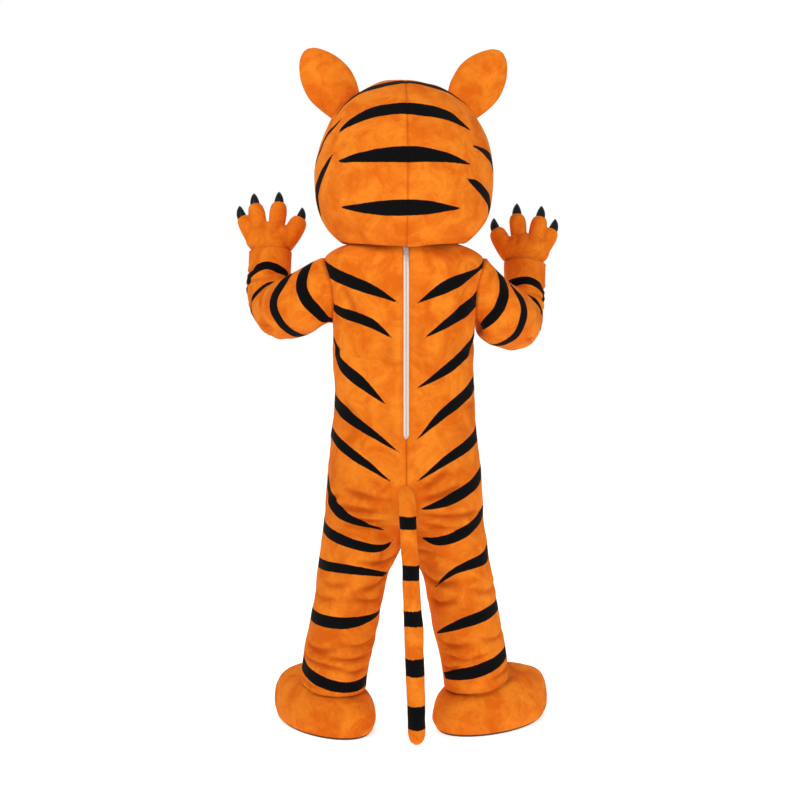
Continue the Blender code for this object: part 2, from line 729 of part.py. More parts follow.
def hand_form(name, side, wall, collection):
    """The hand as one solid: palm, cuff and four fingers. wall makes it smaller all over."""
    frame = hand_frame(side)
    bm = bmesh.new()
    size = Matrix.Diagonal((*[s - wall for s in PALM_SIZE], 1))
    off_seam = Matrix.Rotation(math.pi / PALM_SIDES, 4, "Z")  # no vertex lies on the seam's plane
    place = frame @ Matrix.Translation((0, 0, PALM_CENTRE)) @ size @ off_seam
    bmesh.ops.create_uvsphere(bm, u_segments=PALM_SIDES, v_segments=8, radius=1, matrix=place)
    face_outwards(bm)
    mesh = bpy.data.meshes.new(name)
    bm.to_mesh(mesh)
    bm.free()
    palm = add_object(name, mesh, "orange_plush", collection)
    past = 0.01 if wall else 0.0
    low, high = Vector((0, 0, -CUFF_LENGTH - past)), Vector((0, 0, PALM_CENTRE - wall))
    pieces = [
        hand_tube(f"{name}_cuff", frame, low, high, CUFF_RADIUS, wall, CUFF_PROFILE, cutters, 14)
    ]
    for finger in FINGERS:
        start = Vector((finger.root_across, 0, finger.root_along))
        end = Vector((finger.tip_across, 0, finger.tip_along))
        end -= (end - start).normalized() * wall
        pieces.append(
            hand_tube(f"{name}_{finger.name}", frame, start, end, finger.radius, wall,
                      FINGER_PROFILE, cutters)
        )
    for piece in pieces:
        boolean(palm, as_helper(piece), "UNION")
    return palm


def glove(where, side):
    """A back and a palm half, seamed round the edge of the hand, and four claws."""
    frame = hand_frame(side)
    for half, way in (("back", 1), ("palm", -1)):
        name = f"glove_{where}_{half}"
        outer = hand_form(name, side, 0.0, parts)
        hollow = as_helper(hand_form(f"{name}_hollow", side, GLOVE_WALL, cutters))
        boolean(outer, hollow, "DIFFERENCE")
        beyond = Matrix.Translation((0, way * (SEAM_GAP / 2 - 0.1), 0.05))
        other = block(f"{name}_other", (0.4, 0.2, 0.5), frame @ beyond, "orange_plush", cutters)
        boolean(outer, as_helper(other), "DIFFERENCE", "MANIFOLD")  # the exact solver drops one hand
    for number, finger in enumerate(FINGERS, 1):
        start = Vector((finger.root_across, 0, finger.root_along))
        end = Vector((finger.tip_across, 0, finger.tip_along))
        axis = (end - start).normalized()
        rings = []
        for share, size in CLAW_PROFILE:
            bend = Vector((0, -CLAW_BEND, 0)) * share**2
            way = axis.lerp(Vector((0, 0, 1)), CLAW_UPRIGHT * share).normalized()
            centre = end + axis * SEAM_GAP + way * CLAW_LENGTH * share + bend
            ring = ring_about(centre, axis, Vector((0, -1, 0)), CLAW_RADIUS * size, 10)
            rings.append([frame @ p for p in ring])
        loft(f"claw_{where}_{number}", rings, "black_vinyl")


# ---------------------------------------------------------------- boots
def boot_frame(side):
    way = Vector((side * math.sin(TOE_OUT[side]), -math.cos(TOE_OUT[side]), 0))
    across = Vector((-way.y, way.x, 0))
    return Vector((side * ANKLE_X[side], 0, 0)), way, across


def boot_ring(side, row, angles, shrink=0.0):
    ankle, way, across = boot_frame(side)
    points = []
    for a in angles:
        length = row.forward + (row.half_length - shrink) * math.cos(a)
        width = (row.half_width - shrink) * math.sin(a)
        height = row.height + row.rise * math.cos(a)
        points.append(ankle + way * length + across * width + Vector((0, 0, height)))
    return points


def grid_normals(grid, wrapped):
    """Outward normals of a grid whose columns go round, from its own neighbours."""
    rows, columns = len(grid), len(grid[0])
    found = []
    for r in range(rows):
        line = []
        for c in range(columns):
            if wrapped:
                left, right = grid[r][c - 1], grid[r][(c + 1) % columns]
            else:
                left, right = grid[r][max(c - 1, 0)], grid[r][min(c + 1, columns - 1)]
            up = grid[min(r + 1, rows - 1)][c] - grid[max(r - 1, 0)][c]
            line.append((right - left).cross(up).normalized())
        found.append(line)
    return found


def boot(where, side):
    count = 2 * BOOT_HALF_COLUMNS
    angles = [math.pi + 2 * math.pi * i / count for i in range(count)]
    outer = [boot_ring(side, row, angles) for row in BOOT]
    normals = grid_normals(outer, True)
    inner = []
    for r, row in enumerate(BOOT):
        line = []
        for c, p in enumerate(outer[r]):
            n = normals[r][c]
            if r == 0:
                n = Vector((n.x, n.y, 0)).normalized()
            line.append(p - n * row.wall)
        inner.append(line)
    halves = {"outer": (0, BOOT_HALF_COLUMNS), "inner": (BOOT_HALF_COLUMNS, count)}
    for half, (low, high) in halves.items():
        pick = [c % count for c in range(low, high + 1)]
        grids = [drawn_in([[row[c] for c in pick] for row in grid]) for grid in (outer, inner)]
        for grid in grids:
            for p in grid[0]:
                p.z = BOOT[0].height
        name = half if side > 0 else {"outer": "inner", "inner": "outer"}[half]
        shell(f"boot_{where}_{name}", *grids, "orange_plush")

    rings = []
    for height, shrink in ((0.0, 0.008), (0.003, 0.004), (SOLE_THICKNESS, 0.003)):
        ring = boot_ring(side, BOOT[0], angles, shrink)
        rings.append([Vector((p.x, p.y, height)) for p in ring])
    loft(f"sole_{where}", rings, "sole_rubber")


# ---------------------------------------------------------------- tail
def build_tail():
    back = smooth(TORSO, "back", TAIL[0].height)
    points = [Vector((t.x, back + t.behind + 0.002, t.height)) for t in TAIL]
    rings = []
    for i, (point, row) in enumerate(zip(points, TAIL)):
        axis = points[min(i + 1, len(points) - 1)] - points[max(i - 1, 0)]
        if i == 0:
            axis = Vector((0, 1, -0.15))
        ring = ring_about(point, axis, Vector((1, 0, 0)), row.radius, 12)
        if i == 0:
            for p in ring:
                p.y = smooth(TORSO, "back", p.z) + 0.0012
        rings.append(ring)
    loft("tail", rings, "orange_plush")


# ---------------------------------------------------------------- build
clear_scene()
parts = bpy.data.collections.new("tiger_mascot_costume")
cutters = bpy.data.collections.new("cutters")
for made in (parts, cutters):
    bpy.context.scene.collection.children.link(made)
costume = bpy.data.objects.new("costume", None)
costume.location = (0, 0, -NECK_HEIGHT)
parts.objects.link(costume)

for suit_side, side_name in ((1, "left"), (-1, "right")):
    suit_panel(f"suit_back_{side_name}", suit_side, False)
    suit_panel(f"suit_front_{side_name}", suit_side, True)
    sleeve(f"sleeve_{side_name}", suit_side)
    glove(side_name, suit_side)
    boot(side_name, suit_side)
build_zip()
build_head()
build_tail()
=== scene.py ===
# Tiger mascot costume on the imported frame: plush panels, stripes, creases, seams and fittings
import math
import re

import bmesh
import bpy
import numpy as np
from mathutils import Matrix, Vector


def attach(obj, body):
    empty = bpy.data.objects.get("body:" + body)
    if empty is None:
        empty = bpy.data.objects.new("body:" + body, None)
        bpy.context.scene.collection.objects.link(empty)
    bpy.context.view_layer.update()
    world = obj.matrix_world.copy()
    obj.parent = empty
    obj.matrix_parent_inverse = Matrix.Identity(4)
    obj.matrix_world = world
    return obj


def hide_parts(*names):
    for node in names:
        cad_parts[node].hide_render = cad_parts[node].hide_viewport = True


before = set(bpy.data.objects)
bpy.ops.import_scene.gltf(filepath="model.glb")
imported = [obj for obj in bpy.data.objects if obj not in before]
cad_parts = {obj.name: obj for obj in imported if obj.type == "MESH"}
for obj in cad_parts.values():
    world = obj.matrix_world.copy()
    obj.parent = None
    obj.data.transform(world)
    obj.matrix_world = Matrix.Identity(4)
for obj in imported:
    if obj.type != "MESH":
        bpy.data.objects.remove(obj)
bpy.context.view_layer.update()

body = "costume"
neckHeight = 1.41        # heights in the tables are above the floor
cell = 0.006             # size of a face on the plush
seam = {"gap": 0.0004, "dip": 0.0016, "reach": 0.0035}
creaseDepth = 0.008      # a crease this deep gets the darkest painted shade
foldStrength = 1.7
turned = {1: "left", -1: "right"}
farFromStripe = 0.05


# small tools
def tableCurve(table, column, at):
    keys = np.array([row[0] for row in table], float)
    values = np.array([row[column] for row in table], float)
    spots = np.arange(len(keys))
    low, high = np.maximum(spots - 1, 0), np.minimum(spots + 1, len(keys) - 1)
    slopes = (values[high] - values[low]) / (keys[high] - keys[low])
    at = np.clip(np.asarray(at, float), keys[0], keys[-1])
    i = np.clip(np.searchsorted(keys, at, side="right") - 1, 0, len(keys) - 2)
    span = keys[i + 1] - keys[i]
    t = (at - keys[i]) / span
    return (
        values[i] * (1 + 2 * t) * (1 - t) ** 2
        + values[i + 1] * t * t * (3 - 2 * t)
        + slopes[i] * span * t * (1 - t) ** 2
        - slopes[i + 1] * span * t * t * (1 - t)
    )


def numbered(rows):
    return [(i, *row) for i, row in enumerate(rows)]


def eased(t):
    t = np.clip(t, 0.0, 1.0)
    return t * t * (3 - 2 * t)


def unit(v):
    return v / np.maximum(np.linalg.norm(v, axis=-1, keepdims=True), 1e-9)


def mixed(a, b, share):
    return a * (1 - share) + b * share


def spread(count):
    # positions 0 to 1 that close up at both seams
    edge = np.array([0.0, 0.22, 0.5, 0.85])
    inside = np.arange(1.3, count - 1.2, 1.0)
    return np.concatenate([edge, inside, (count - edge)[::-1]]) / count


def gridNormals(points, wrap=False, sign=1):
    if wrap:
        along = np.roll(points, -1, 1) - np.roll(points, 1, 1)
    else:
        along = np.gradient(points, axis=1)
    up = np.gradient(points, axis=0)
    return unit(np.cross(along, up)) * sign


def facingOut(normals, out):
    # out points away from the middle of the piece
    return -normals if np.sum(normals * out) < 0 else normals


def plain(points):
    # no stripe anywhere
    return np.full(points.shape[:-1], farFromStripe)


def lineDistance(points, line):
    # nearest distance to a polyline, how far along it, and which end
    flat = points.reshape(-1, 3)
    best = np.full(len(flat), 9.0)
    place = np.zeros(len(flat))
    for i in range(len(line) - 1):
        a, way = line[i], line[i + 1] - line[i]
        t = np.clip((flat - a) @ way / max(way @ way, 1e-12), 0, 1)
        d = np.linalg.norm(flat - a - t[:, None] * way, axis=1)
        nearer = d < best
        best = np.where(nearer, d, best)
        place = np.where(nearer, (i + t) / (len(line) - 1), place)
    return best.reshape(points.shape[:-1]), place.reshape(points.shape[:-1])


def throughPoints(rows, count=26):
    table = numbered(rows)
    at = np.linspace(0, len(rows) - 1, count)
    return [tableCurve(table, c + 1, at) for c in range(len(rows[0]))]


def strokeField(points, strokes):
    # below zero inside a stripe, in metres; each stroke is its line and its half widths
    field = plain(points)
    for line, half in strokes:
        low, high = line.min(0) - 0.09, line.max(0) + 0.09
        if not np.any(np.all((points > low) & (points < high), axis=-1)):
            continue
        distance, place = lineDistance(points, line)
        width = np.interp(place, np.linspace(0, 1, len(half)), half)
        field = np.minimum(field, distance - width)
    return field


def foldField(points, folds):
    # each fold is its line, depth (below zero for a ridge) and half width
    total = np.zeros(points.shape[:-1])
    for line, depth, width in folds:
        distance, place = lineDistance(points, line)
        taper = np.sin(np.pi * np.clip(place, 0.02, 0.98)) ** 0.7
        hollow = np.exp(-((distance / width) ** 2))
        banks = np.exp(-(((distance - 1.9 * width) / (1.1 * width)) ** 2))
        total -= foldStrength * depth * taper * (hollow - 0.45 * banks)
    return total


waveSource = np.random.default_rng(7)
waves = [
    (
        unit(waveSource.normal(size=3)) * 2 * np.pi / waveSource.uniform(low, high),
        waveSource.uniform(0, 6.3), size,
    )
    for low, high, size, count in (
        (0.16, 0.30, 0.00065, 10), (0.07, 0.13, 0.00035, 14), (0.035, 0.06, 0.00012, 14),
    )
    for _ in range(count)
]


def softWaves(points):
    total = np.zeros(points.shape[:-1])
    for way, phase, size in waves:
        total += size * np.sin(points @ way + phase)
    return total


def seamDip(points, wrap=False, rows=(True, True), columns=(True, True)):
    # the nap sinks into a seam at the borders of a panel
    dip = np.zeros(points.shape[:-1])

    def add(distance):
        np.maximum(dip, np.exp(-((distance / seam["reach"]) ** 2)), out=dip)

    steps = np.linalg.norm(np.diff(points, axis=0), axis=-1)
    run = np.concatenate([np.zeros((1, points.shape[1])), np.cumsum(steps, 0)])
    if rows[0]:
        add(run)
    if rows[1]:
        add(run[-1:] - run)
    if not wrap:
        steps = np.linalg.norm(np.diff(points, axis=1), axis=-1)
        run = np.concatenate([np.zeros((points.shape[0], 1)), np.cumsum(steps, 1)], axis=1)
        if columns[0]:
            add(run)
        if columns[1]:
            add(run[:, -1:] - run)
    return dip * seam["dip"]


def creaseShade(lift):
    # painted shade: the plush is coloured darker down in a crease, where the pile also parts
    return np.clip(-lift / creaseDepth, 0.0, 1.0)


def seamShade(dip):
    return 0.55 * dip / seam["dip"]


def linked(name, data):
    obj = bpy.data.objects.new(name, data)
    bpy.context.scene.collection.objects.link(obj)
    return obj


def evaluatedMesh(obj):
    # its mesh with the modifiers applied
    bpy.context.view_layer.update()
    return bpy.data.meshes.new_from_object(obj.evaluated_get(bpy.context.evaluated_depsgraph_get()))


def meshObject(name, verts, faces, material, field=None, hollow=None):
    mesh = bpy.data.meshes.new(name)
    mesh.from_pydata(verts.tolist() if hasattr(verts, "tolist") else verts, [], faces)
    # the hollow attribute holds the painted shade of creases and seams
    for label, values in (("stripe", field), ("hollow", hollow)):
        if values is not None:
            layer = mesh.attributes.new(label, "FLOAT", "POINT")
            layer.data.foreach_set("value", np.asarray(values, np.float32).ravel())
    bm = bmesh.new()
    bm.from_mesh(mesh)
    bmesh.ops.remove_doubles(bm, verts=bm.verts, dist=1e-5)
    bmesh.ops.dissolve_degenerate(bm, edges=bm.edges, dist=1e-6)
    bmesh.ops.recalc_face_normals(bm, faces=bm.faces)
    if bm.calc_volume(signed=True) < 0:
        bmesh.ops.reverse_faces(bm, faces=bm.faces)
    bm.to_mesh(mesh)
    bm.free()
    mesh.shade_smooth()
    mesh.materials.append(material)
    obj = linked(name, mesh)
    return obj


def wall(name, outer, inner, material, wrap=False, field=None, slot=None, hollow=None):
    # a closed wall between two grids of the same rows and columns
    rows, columns = outer.shape[:2]
    index = np.arange(rows * columns).reshape(rows, columns)
    other = index + rows * columns
    after = np.roll(index, -1, 1) if wrap else index[:, 1:]
    here = index if wrap else index[:, :-1]
    quads = [np.stack([here[:-1], after[:-1], after[1:], here[1:]], -1).reshape(-1, 4)]
    quads.append(quads[0][:, ::-1] + rows * columns)
    for r in (0, rows - 1):
        a, b = here[r], after[r]
        quads.append(np.stack([a, b, b + rows * columns, a + rows * columns], -1))
    if not wrap:
        for c in (0, columns - 1):
            a, b = index[:-1, c], index[1:, c]
            quads.append(np.stack([a, b, other[1:, c], other[:-1, c]], -1))
    verts = np.concatenate([outer.reshape(-1, 3), inner.reshape(-1, 3)])
    if field is not None:
        field = np.concatenate([field.ravel(), np.full(rows * columns, farFromStripe)])
    # the inner wall gets no painted shade
    if hollow is not None:
        hollow = np.concatenate([hollow.ravel(), np.zeros(rows * columns)])
    return meshObject(name, verts, np.concatenate(quads).tolist(), material, field, hollow)


def tube(name, rings, material, field=None):
    # a closed solid through rings, with each end closed to one point
    rows, columns = rings.shape[:2]
    index = np.arange(rows * columns).reshape(rows, columns)
    after = np.roll(index, -1, 1)
    quads = np.stack([index[:-1], after[:-1], after[1:], index[1:]], -1).reshape(-1, 4).tolist()
    verts = rings.reshape(-1, 3)
    centres = np.stack([rings[0].mean(0), rings[-1].mean(0)])
    verts = np.concatenate([verts, centres])
    if field is not None:
        field = np.concatenate([field.ravel(), [field[0].mean(), field[-1].mean()]])
    for row, tip in ((0, rows * columns), (rows - 1, rows * columns + 1)):
        quads += [[int(a), int(b), tip] for a, b in zip(index[row], after[row])]
    return meshObject(name, verts, quads, material, field)


def ringAbout(centre, axis, down, radius, angles, handed=1):
    axis = unit(axis)
    down = unit(down - axis * (down @ axis))
    across = np.cross(axis, down) * handed
    return centre + radius * (np.cos(angles)[:, None] * down + np.sin(angles)[:, None] * across)


# materials
def setSocket(node, name, value):
    node.inputs[name].default_value = value


def newGroup(name, inputs, outputs):
    tree = bpy.data.node_groups.new(name, "ShaderNodeTree")
    for label, kind, default in inputs:
        socket = tree.interface.new_socket(label, in_out="INPUT", socket_type=kind)
        socket.default_value = default
    for label, kind in outputs:
        tree.interface.new_socket(label, in_out="OUTPUT", socket_type=kind)
    return tree, tree.nodes.new("NodeGroupInput"), tree.nodes.new("NodeGroupOutput")


def addNode(tree, kind, links=(), **values):
    node = tree.nodes.new(kind)
    for key, value in values.items():
        setattr(node, key, value)
    for socket, value in links:
        target = node.inputs[socket]
        if isinstance(value, bpy.types.NodeSocket):
            tree.links.new(value, target)
        else:
            target.default_value = value
    return node


def objectPlace(tree):
    return addNode(tree, "ShaderNodeTexCoord").outputs["Object"]


def noiseAt(tree, vector, scale, detail=2.0, roughness=0.5, distortion=0.0):
    return addNode(
        tree, "ShaderNodeTexNoise",
        [
            ("Vector", vector), ("Scale", scale), ("Detail", detail), ("Roughness", roughness),
            ("Distortion", distortion),
        ],
    ).outputs["Fac"]


def ranged(tree, value, low, high, toLow=0.0, toHigh=1.0):
    return addNode(
        tree, "ShaderNodeMapRange",
        [("Value", value), ("From Min", low), ("From Max", high), ("To Min", toLow), ("To Max", toHigh)],
    ).outputs["Result"]


def sums(tree, operation, a, b):
    return addNode(tree, "ShaderNodeMath", [(0, a), (1, b)], operation=operation).outputs[0]


def blended(tree, share, a, b, mode="MIX"):
    node = addNode(tree, "ShaderNodeMix", data_type="RGBA", blend_type=mode)
    # a mix node's sockets share their names, so the share and the two colours go by place
    for index, value in ((0, share), (6, a), (7, b)):
        if isinstance(value, bpy.types.NodeSocket):
            tree.links.new(value, node.inputs[index])
        else:
            node.inputs[index].default_value = value
    return node.outputs[2]


def plushNap():
    # brushed pile: patches where the nap leans another way, and the tufts themselves
    tree, given, made = newGroup(
        "plushNap",
        [("Patch Scale", "NodeSocketFloat", 14.0), ("Tuft Scale", "NodeSocketFloat", 420.0)],
        [("Patches", "NodeSocketFloat"), ("Fine", "NodeSocketFloat"), ("Height", "NodeSocketFloat")],
    )
    where = objectPlace(tree)
    patches = addNode(
        tree, "ShaderNodeTexNoise",
        [("Vector", where), ("Detail", 4.0), ("Roughness", 0.66), ("Distortion", 0.6)],
    )
    tree.links.new(given.outputs["Patch Scale"], patches.inputs["Scale"])
    tufts = addNode(
        tree, "ShaderNodeTexNoise",
        [("Vector", where), ("Detail", 2.0), ("Roughness", 0.7), ("Distortion", 0.6)],
    )
    tree.links.new(given.outputs["Tuft Scale"], tufts.inputs["Scale"])
    clumps = noiseAt(tree, where, 120.0, 2.0, 0.6, 0.8)
    tree.links.new(ranged(tree, patches.outputs["Fac"], 0.38, 0.62), made.inputs["Patches"])
    fine = sums(
        tree, "ADD", sums(tree, "MULTIPLY", tufts.outputs["Fac"], 0.6), sums(tree, "MULTIPLY", clumps, 0.4),
    )
    tree.links.new(ranged(tree, fine, 0.3, 0.7), made.inputs["Fine"])
    tree.links.new(
        sums(tree, "ADD", tufts.outputs["Fac"], sums(tree, "MULTIPLY", clumps, 0.8)), made.inputs["Height"],
    )
    return tree


napGroup = plushNap()

stripeLook = {"edge": 0.0007, "wander": 0.0022, "furScale": 260.0, "wanderScale": 40.0}


def stripeMask():
    # 1 inside a stripe, with the furry edge of one colour of pile against the other
    tree, given, made = newGroup(
        "stripeMask", [("Wander", "NodeSocketFloat", stripeLook["wander"])], [("Mask", "NodeSocketFloat")],
    )
    where = objectPlace(tree)
    field = addNode(
        tree, "ShaderNodeAttribute", attribute_name="stripe", attribute_type="GEOMETRY",
    ).outputs["Fac"]
    fur = sums(tree, "SUBTRACT", noiseAt(tree, where, stripeLook["furScale"], 2.0, 0.7), 0.5)
    drift = sums(tree, "SUBTRACT", noiseAt(tree, where, stripeLook["wanderScale"], 2.0), 0.5)
    shift = sums(tree, "MULTIPLY", sums(tree, "ADD", fur, drift), given.outputs["Wander"])
    edge = ranged(tree, sums(tree, "ADD", field, shift), -stripeLook["edge"], stripeLook["edge"], 1.0, 0.0)
    tree.links.new(edge, made.inputs["Mask"])
    return tree


stripeGroup = stripeMask()


def newMaterial(name, roughness=0.5, metallic=0.0):
    made = bpy.data.materials.new(name)
    made.use_nodes = True
    shader = made.node_tree.nodes["Principled BSDF"]
    setSocket(shader, "Roughness", roughness)
    setSocket(shader, "Metallic", metallic)
    return made, made.node_tree, shader


def groupNode(tree, group, **values):
    node = tree.nodes.new("ShaderNodeGroup")
    node.node_tree = group
    for name, value in values.items():
        node.inputs[name.replace("_", " ")].default_value = value
    return node


def bumped(tree, shader, height, distance, strength=1.0):
    bump = addNode(
        tree, "ShaderNodeBump", [("Height", height), ("Distance", distance), ("Strength", strength)],
    )
    tree.links.new(bump.outputs["Normal"], shader.inputs["Normal"])


def plush(name, light, dark, deep, striped=False, patchScale=14.0, wander=0.0022):
    made, tree, shader = newMaterial(name, plushLook["roughness"])
    nap = groupNode(tree, napGroup, Patch_Scale=patchScale, Tuft_Scale=plushLook["tuftScale"])
    colour = blended(tree, nap.outputs["Patches"], dark, light)
    shade = ranged(tree, nap.outputs["Fine"], 0.0, 1.0, 0.0, plushLook["fineShare"])
    colour = blended(tree, shade, colour, deep)
    # painted shade: the hollow attribute darkens the colour toward deep in creases and along seams
    hollow = addNode(
        tree, "ShaderNodeAttribute", attribute_name="hollow", attribute_type="GEOMETRY",
    ).outputs["Fac"]
    colour = blended(tree, ranged(tree, hollow, 0.0, 1.0, 0.0, plushLook["paintedShadeShare"]), colour, deep)
    if striped:
        black = blended(tree, nap.outputs["Fine"], stripeDark[0], stripeDark[1])
        mask = groupNode(tree, stripeGroup, Wander=wander)
        colour = blended(tree, mask.outputs["Mask"], colour, black)
    tree.links.new(colour, shader.inputs["Base Color"])
    bumped(tree, shader, nap.outputs["Height"], plushLook["tuftHeight"], plushLook["bump"])
    setSocket(shader, "Sheen Weight", plushLook["sheen"])
    setSocket(shader, "Sheen Roughness", plushLook["sheenRoughness"])
    setSocket(shader, "Sheen Tint", plushLook["sheenTint"])
    setSocket(shader, "Specular IOR Level", plushLook["specular"])
    return made


# the shade share sets how far the painted shade in creases and seams goes toward the deep colour
plushLook = {
    "roughness": 0.92, "tuftScale": 420.0, "fineShare": 0.30, "paintedShadeShare": 0.85, "tuftHeight": 0.0016,
    "bump": 0.55, "sheen": 0.035, "sheenRoughness": 0.45, "sheenTint": (1.0, 0.62, 0.32, 1.0), "specular": 0.08,
}
stripeDark = ((0.0012, 0.0012, 0.0014, 1), (0.0050, 0.0050, 0.0058, 1))
# deep is used for the fine tuft mottle and for the painted shade in creases and seams
orange = {"light": (0.98, 0.275, 0.018, 1), "dark": (0.80, 0.155, 0.006, 1), "deep": (0.50, 0.070, 0.003, 1)}
orangePlush = plush("orangePlush", orange["light"], orange["dark"], orange["deep"], striped=True)
tailPlush = plush("tailPlush", orange["light"], orange["dark"], orange["deep"], striped=True, wander=0.0065)
creamPlush = plush("creamPlush", (0.86, 0.78, 0.63, 1), (0.78, 0.68, 0.52, 1), (0.60, 0.48, 0.33, 1))


def mouldedVinyl(name, colour, roughness, mottle, bumpDistance=0.0002, coat=0.0):
    made, tree, shader = newMaterial(name, roughness)
    where = objectPlace(tree)
    cloud = noiseAt(tree, where, 90.0, 3.0)
    dusty = tuple(min(c + mottle, 1.0) for c in colour[:3]) + (1.0,)
    tree.links.new(blended(tree, ranged(tree, cloud, 0.35, 0.75), colour, dusty), shader.inputs["Base Color"])
    tree.links.new(
        ranged(tree, noiseAt(tree, where, 260.0, 2.0), 0.3, 0.7, roughness - 0.08, roughness + 0.12),
        shader.inputs["Roughness"],
    )
    bumped(tree, shader, noiseAt(tree, where, 700.0, 2.0), bumpDistance, 0.4)
    if coat:
        setSocket(shader, "Coat Weight", coat)
        setSocket(shader, "Coat Roughness", 0.2)
    return made


clawVinyl = mouldedVinyl("clawVinyl", (0.003, 0.003, 0.0035, 1), 0.45, 0.004)
setSocket(clawVinyl.node_tree.nodes["Principled BSDF"], "Specular IOR Level", 0.22)
pupilVinyl = mouldedVinyl("pupilVinyl", (0.012, 0.012, 0.014, 1), 0.24, 0.006, coat=0.5)
eyeWhite = mouldedVinyl("eyeWhite", (0.80, 0.80, 0.77, 1), 0.34, 0.05, coat=0.3)
soleRubber = mouldedVinyl("soleRubber", (0.075, 0.040, 0.024, 1), 0.78, 0.03, 0.0008)


def zipTapeCloth():
    made, tree, shader = newMaterial("zipTape", 0.78)
    where = objectPlace(tree)
    ribs = addNode(
        tree, "ShaderNodeTexWave", [("Vector", where), ("Scale", 330.0), ("Distortion", 0.3)],
        bands_direction="Z",
    )
    warp = addNode(
        tree, "ShaderNodeTexWave", [("Vector", where), ("Scale", 420.0), ("Distortion", 0.3)],
        bands_direction="X",
    )
    weave = sums(tree, "MULTIPLY", ribs.outputs["Fac"], warp.outputs["Fac"])
    tree.links.new(
        blended(tree, weave, (0.90, 0.80, 0.72, 1), (0.98, 0.95, 0.91, 1)), shader.inputs["Base Color"],
    )
    bumped(tree, shader, weave, 0.0004, 0.6)
    setSocket(shader, "Sheen Weight", 0.15)
    return made


zipTape = zipTapeCloth()


def brushedMetal(name, colour, roughness):
    made, tree, shader = newMaterial(name, roughness, 1.0)
    where = objectPlace(tree)
    scratch = addNode(tree, "ShaderNodeMapping", [("Vector", where), ("Scale", (1.0, 1.0, 0.12))]).outputs[0]
    lines = noiseAt(tree, scratch, 1800.0, 2.0)
    dull = tuple(c * 0.72 for c in colour[:3]) + (1.0,)
    tree.links.new(blended(tree, ranged(tree, lines, 0.35, 0.7), colour, dull), shader.inputs["Base Color"])
    tree.links.new(
        ranged(tree, lines, 0.3, 0.7, roughness - 0.08, roughness + 0.1), shader.inputs["Roughness"],
    )
    bumped(tree, shader, lines, 0.00008, 0.5)
    return made


zipMetal = brushedMetal("zipMetal", (0.74, 0.73, 0.72, 1), 0.32)


def threadCloth(name, light, dark):
    made, tree, shader = newMaterial(name, 0.62)
    where = objectPlace(tree)
    ply = addNode(
        tree, "ShaderNodeTexWave", [("Vector", where), ("Scale", 700.0), ("Distortion", 0.5)],
        bands_direction="DIAGONAL",
    )
    tree.links.new(blended(tree, ply.outputs["Fac"], dark, light), shader.inputs["Base Color"])
    bumped(tree, shader, ply.outputs["Fac"], 0.0002, 0.6)
    setSocket(shader, "Sheen Weight", 0.2)
    return made


orangeThread = threadCloth("orangeThread", (0.66, 0.15, 0.012, 1), (0.40, 0.07, 0.006, 1))
coilNylon = threadCloth("coilNylon", (0.90, 0.86, 0.82, 1), (0.66, 0.60, 0.56, 1))
print("materials ready")


# suit: where its cloth lies
suit = {
    "hip": 0.66, "crotch": 0.555, "hem": 0.135, "top": 1.44, "cloth": 0.003, "planFullness": 0.85,
    "armholeHeight": 1.29, "armholeRise": 0.095, "armholeDepth": 0.068,
    "zipBottom": 0.875, "zipEnd": 0.012, "halfSlot": 0.008,
    "toeOut": {1: math.radians(35), -1: math.radians(54)}, "legOut": {1: 0.0, -1: 0.008},
    # height, half width, back, front, back drop, front drop
    "torso": [
        (0.500, 0.235, 0.160, 0.152, 0.000, 0.000), (0.620, 0.234, 0.168, 0.158, 0.000, 0.000),
        (0.730, 0.227, 0.163, 0.162, 0.000, 0.000), (0.850, 0.215, 0.153, 0.163, 0.000, 0.000),
        (0.965, 0.208, 0.148, 0.162, 0.000, 0.000), (1.080, 0.206, 0.148, 0.158, 0.000, 0.000),
        (1.195, 0.210, 0.150, 0.152, 0.000, 0.000), (1.290, 0.227, 0.149, 0.142, 0.006, 0.006),
        (1.385, 0.232, 0.145, 0.126, 0.020, 0.026), (1.413, 0.196, 0.141, 0.115, 0.024, 0.034),
        (1.440, 0.128, 0.131, 0.100, 0.026, 0.046),
    ],
    # height, centre, half width, back, front, tilt
    "leg": [
        (0.100, 0.207, 0.094, 0.094, 0.094, 0.018), (0.160, 0.205, 0.098, 0.100, 0.099, 0.016),
        (0.227, 0.195, 0.100, 0.105, 0.103, 0.010), (0.286, 0.183, 0.099, 0.107, 0.105, 0.004),
        (0.375, 0.166, 0.101, 0.114, 0.110, 0.000), (0.463, 0.148, 0.106, 0.123, 0.117, 0.000),
        (0.552, 0.123, 0.119, 0.134, 0.127, 0.000), (0.660, 0.117, 0.117, 0.150, 0.142, 0.000),
    ],
}


def torsoPoint(height, turn, front):
    table = suit["torso"]
    front = np.asarray(front, bool)
    depth = np.where(front, tableCurve(table, 3, height), tableCurve(table, 2, height))
    drop = np.where(front, tableCurve(table, 5, height), tableCurve(table, 4, height))
    cosine = np.maximum(np.cos(turn), 0.0)
    y = depth * cosine ** suit["planFullness"]
    x = tableCurve(table, 1, height) * np.sin(turn)
    return np.stack([x, np.where(front, -y, y), height - drop * cosine**2 - neckHeight], -1)


def legPoint(height, share, front, side):
    table = suit["leg"]
    angle = np.pi * (1 - share)
    depth = np.where(front, tableCurve(table, 4, height), tableCurve(table, 3, height)) * np.sin(angle)
    across = tableCurve(table, 2, height) * np.cos(angle)
    y = np.where(front, -depth, depth)
    toe = (math.sin(suit["toeOut"][side]), -math.cos(suit["toeOut"][side]))
    size = np.maximum(np.hypot(across, y), 1e-6)
    lift = tableCurve(table, 5, height) * (across * toe[0] + y * toe[1]) / size
    centre = tableCurve(table, 1, height) + suit["legOut"][side] * eased((0.60 - height) / 0.20)
    return np.stack([centre + across, y, height + lift - neckHeight], -1)


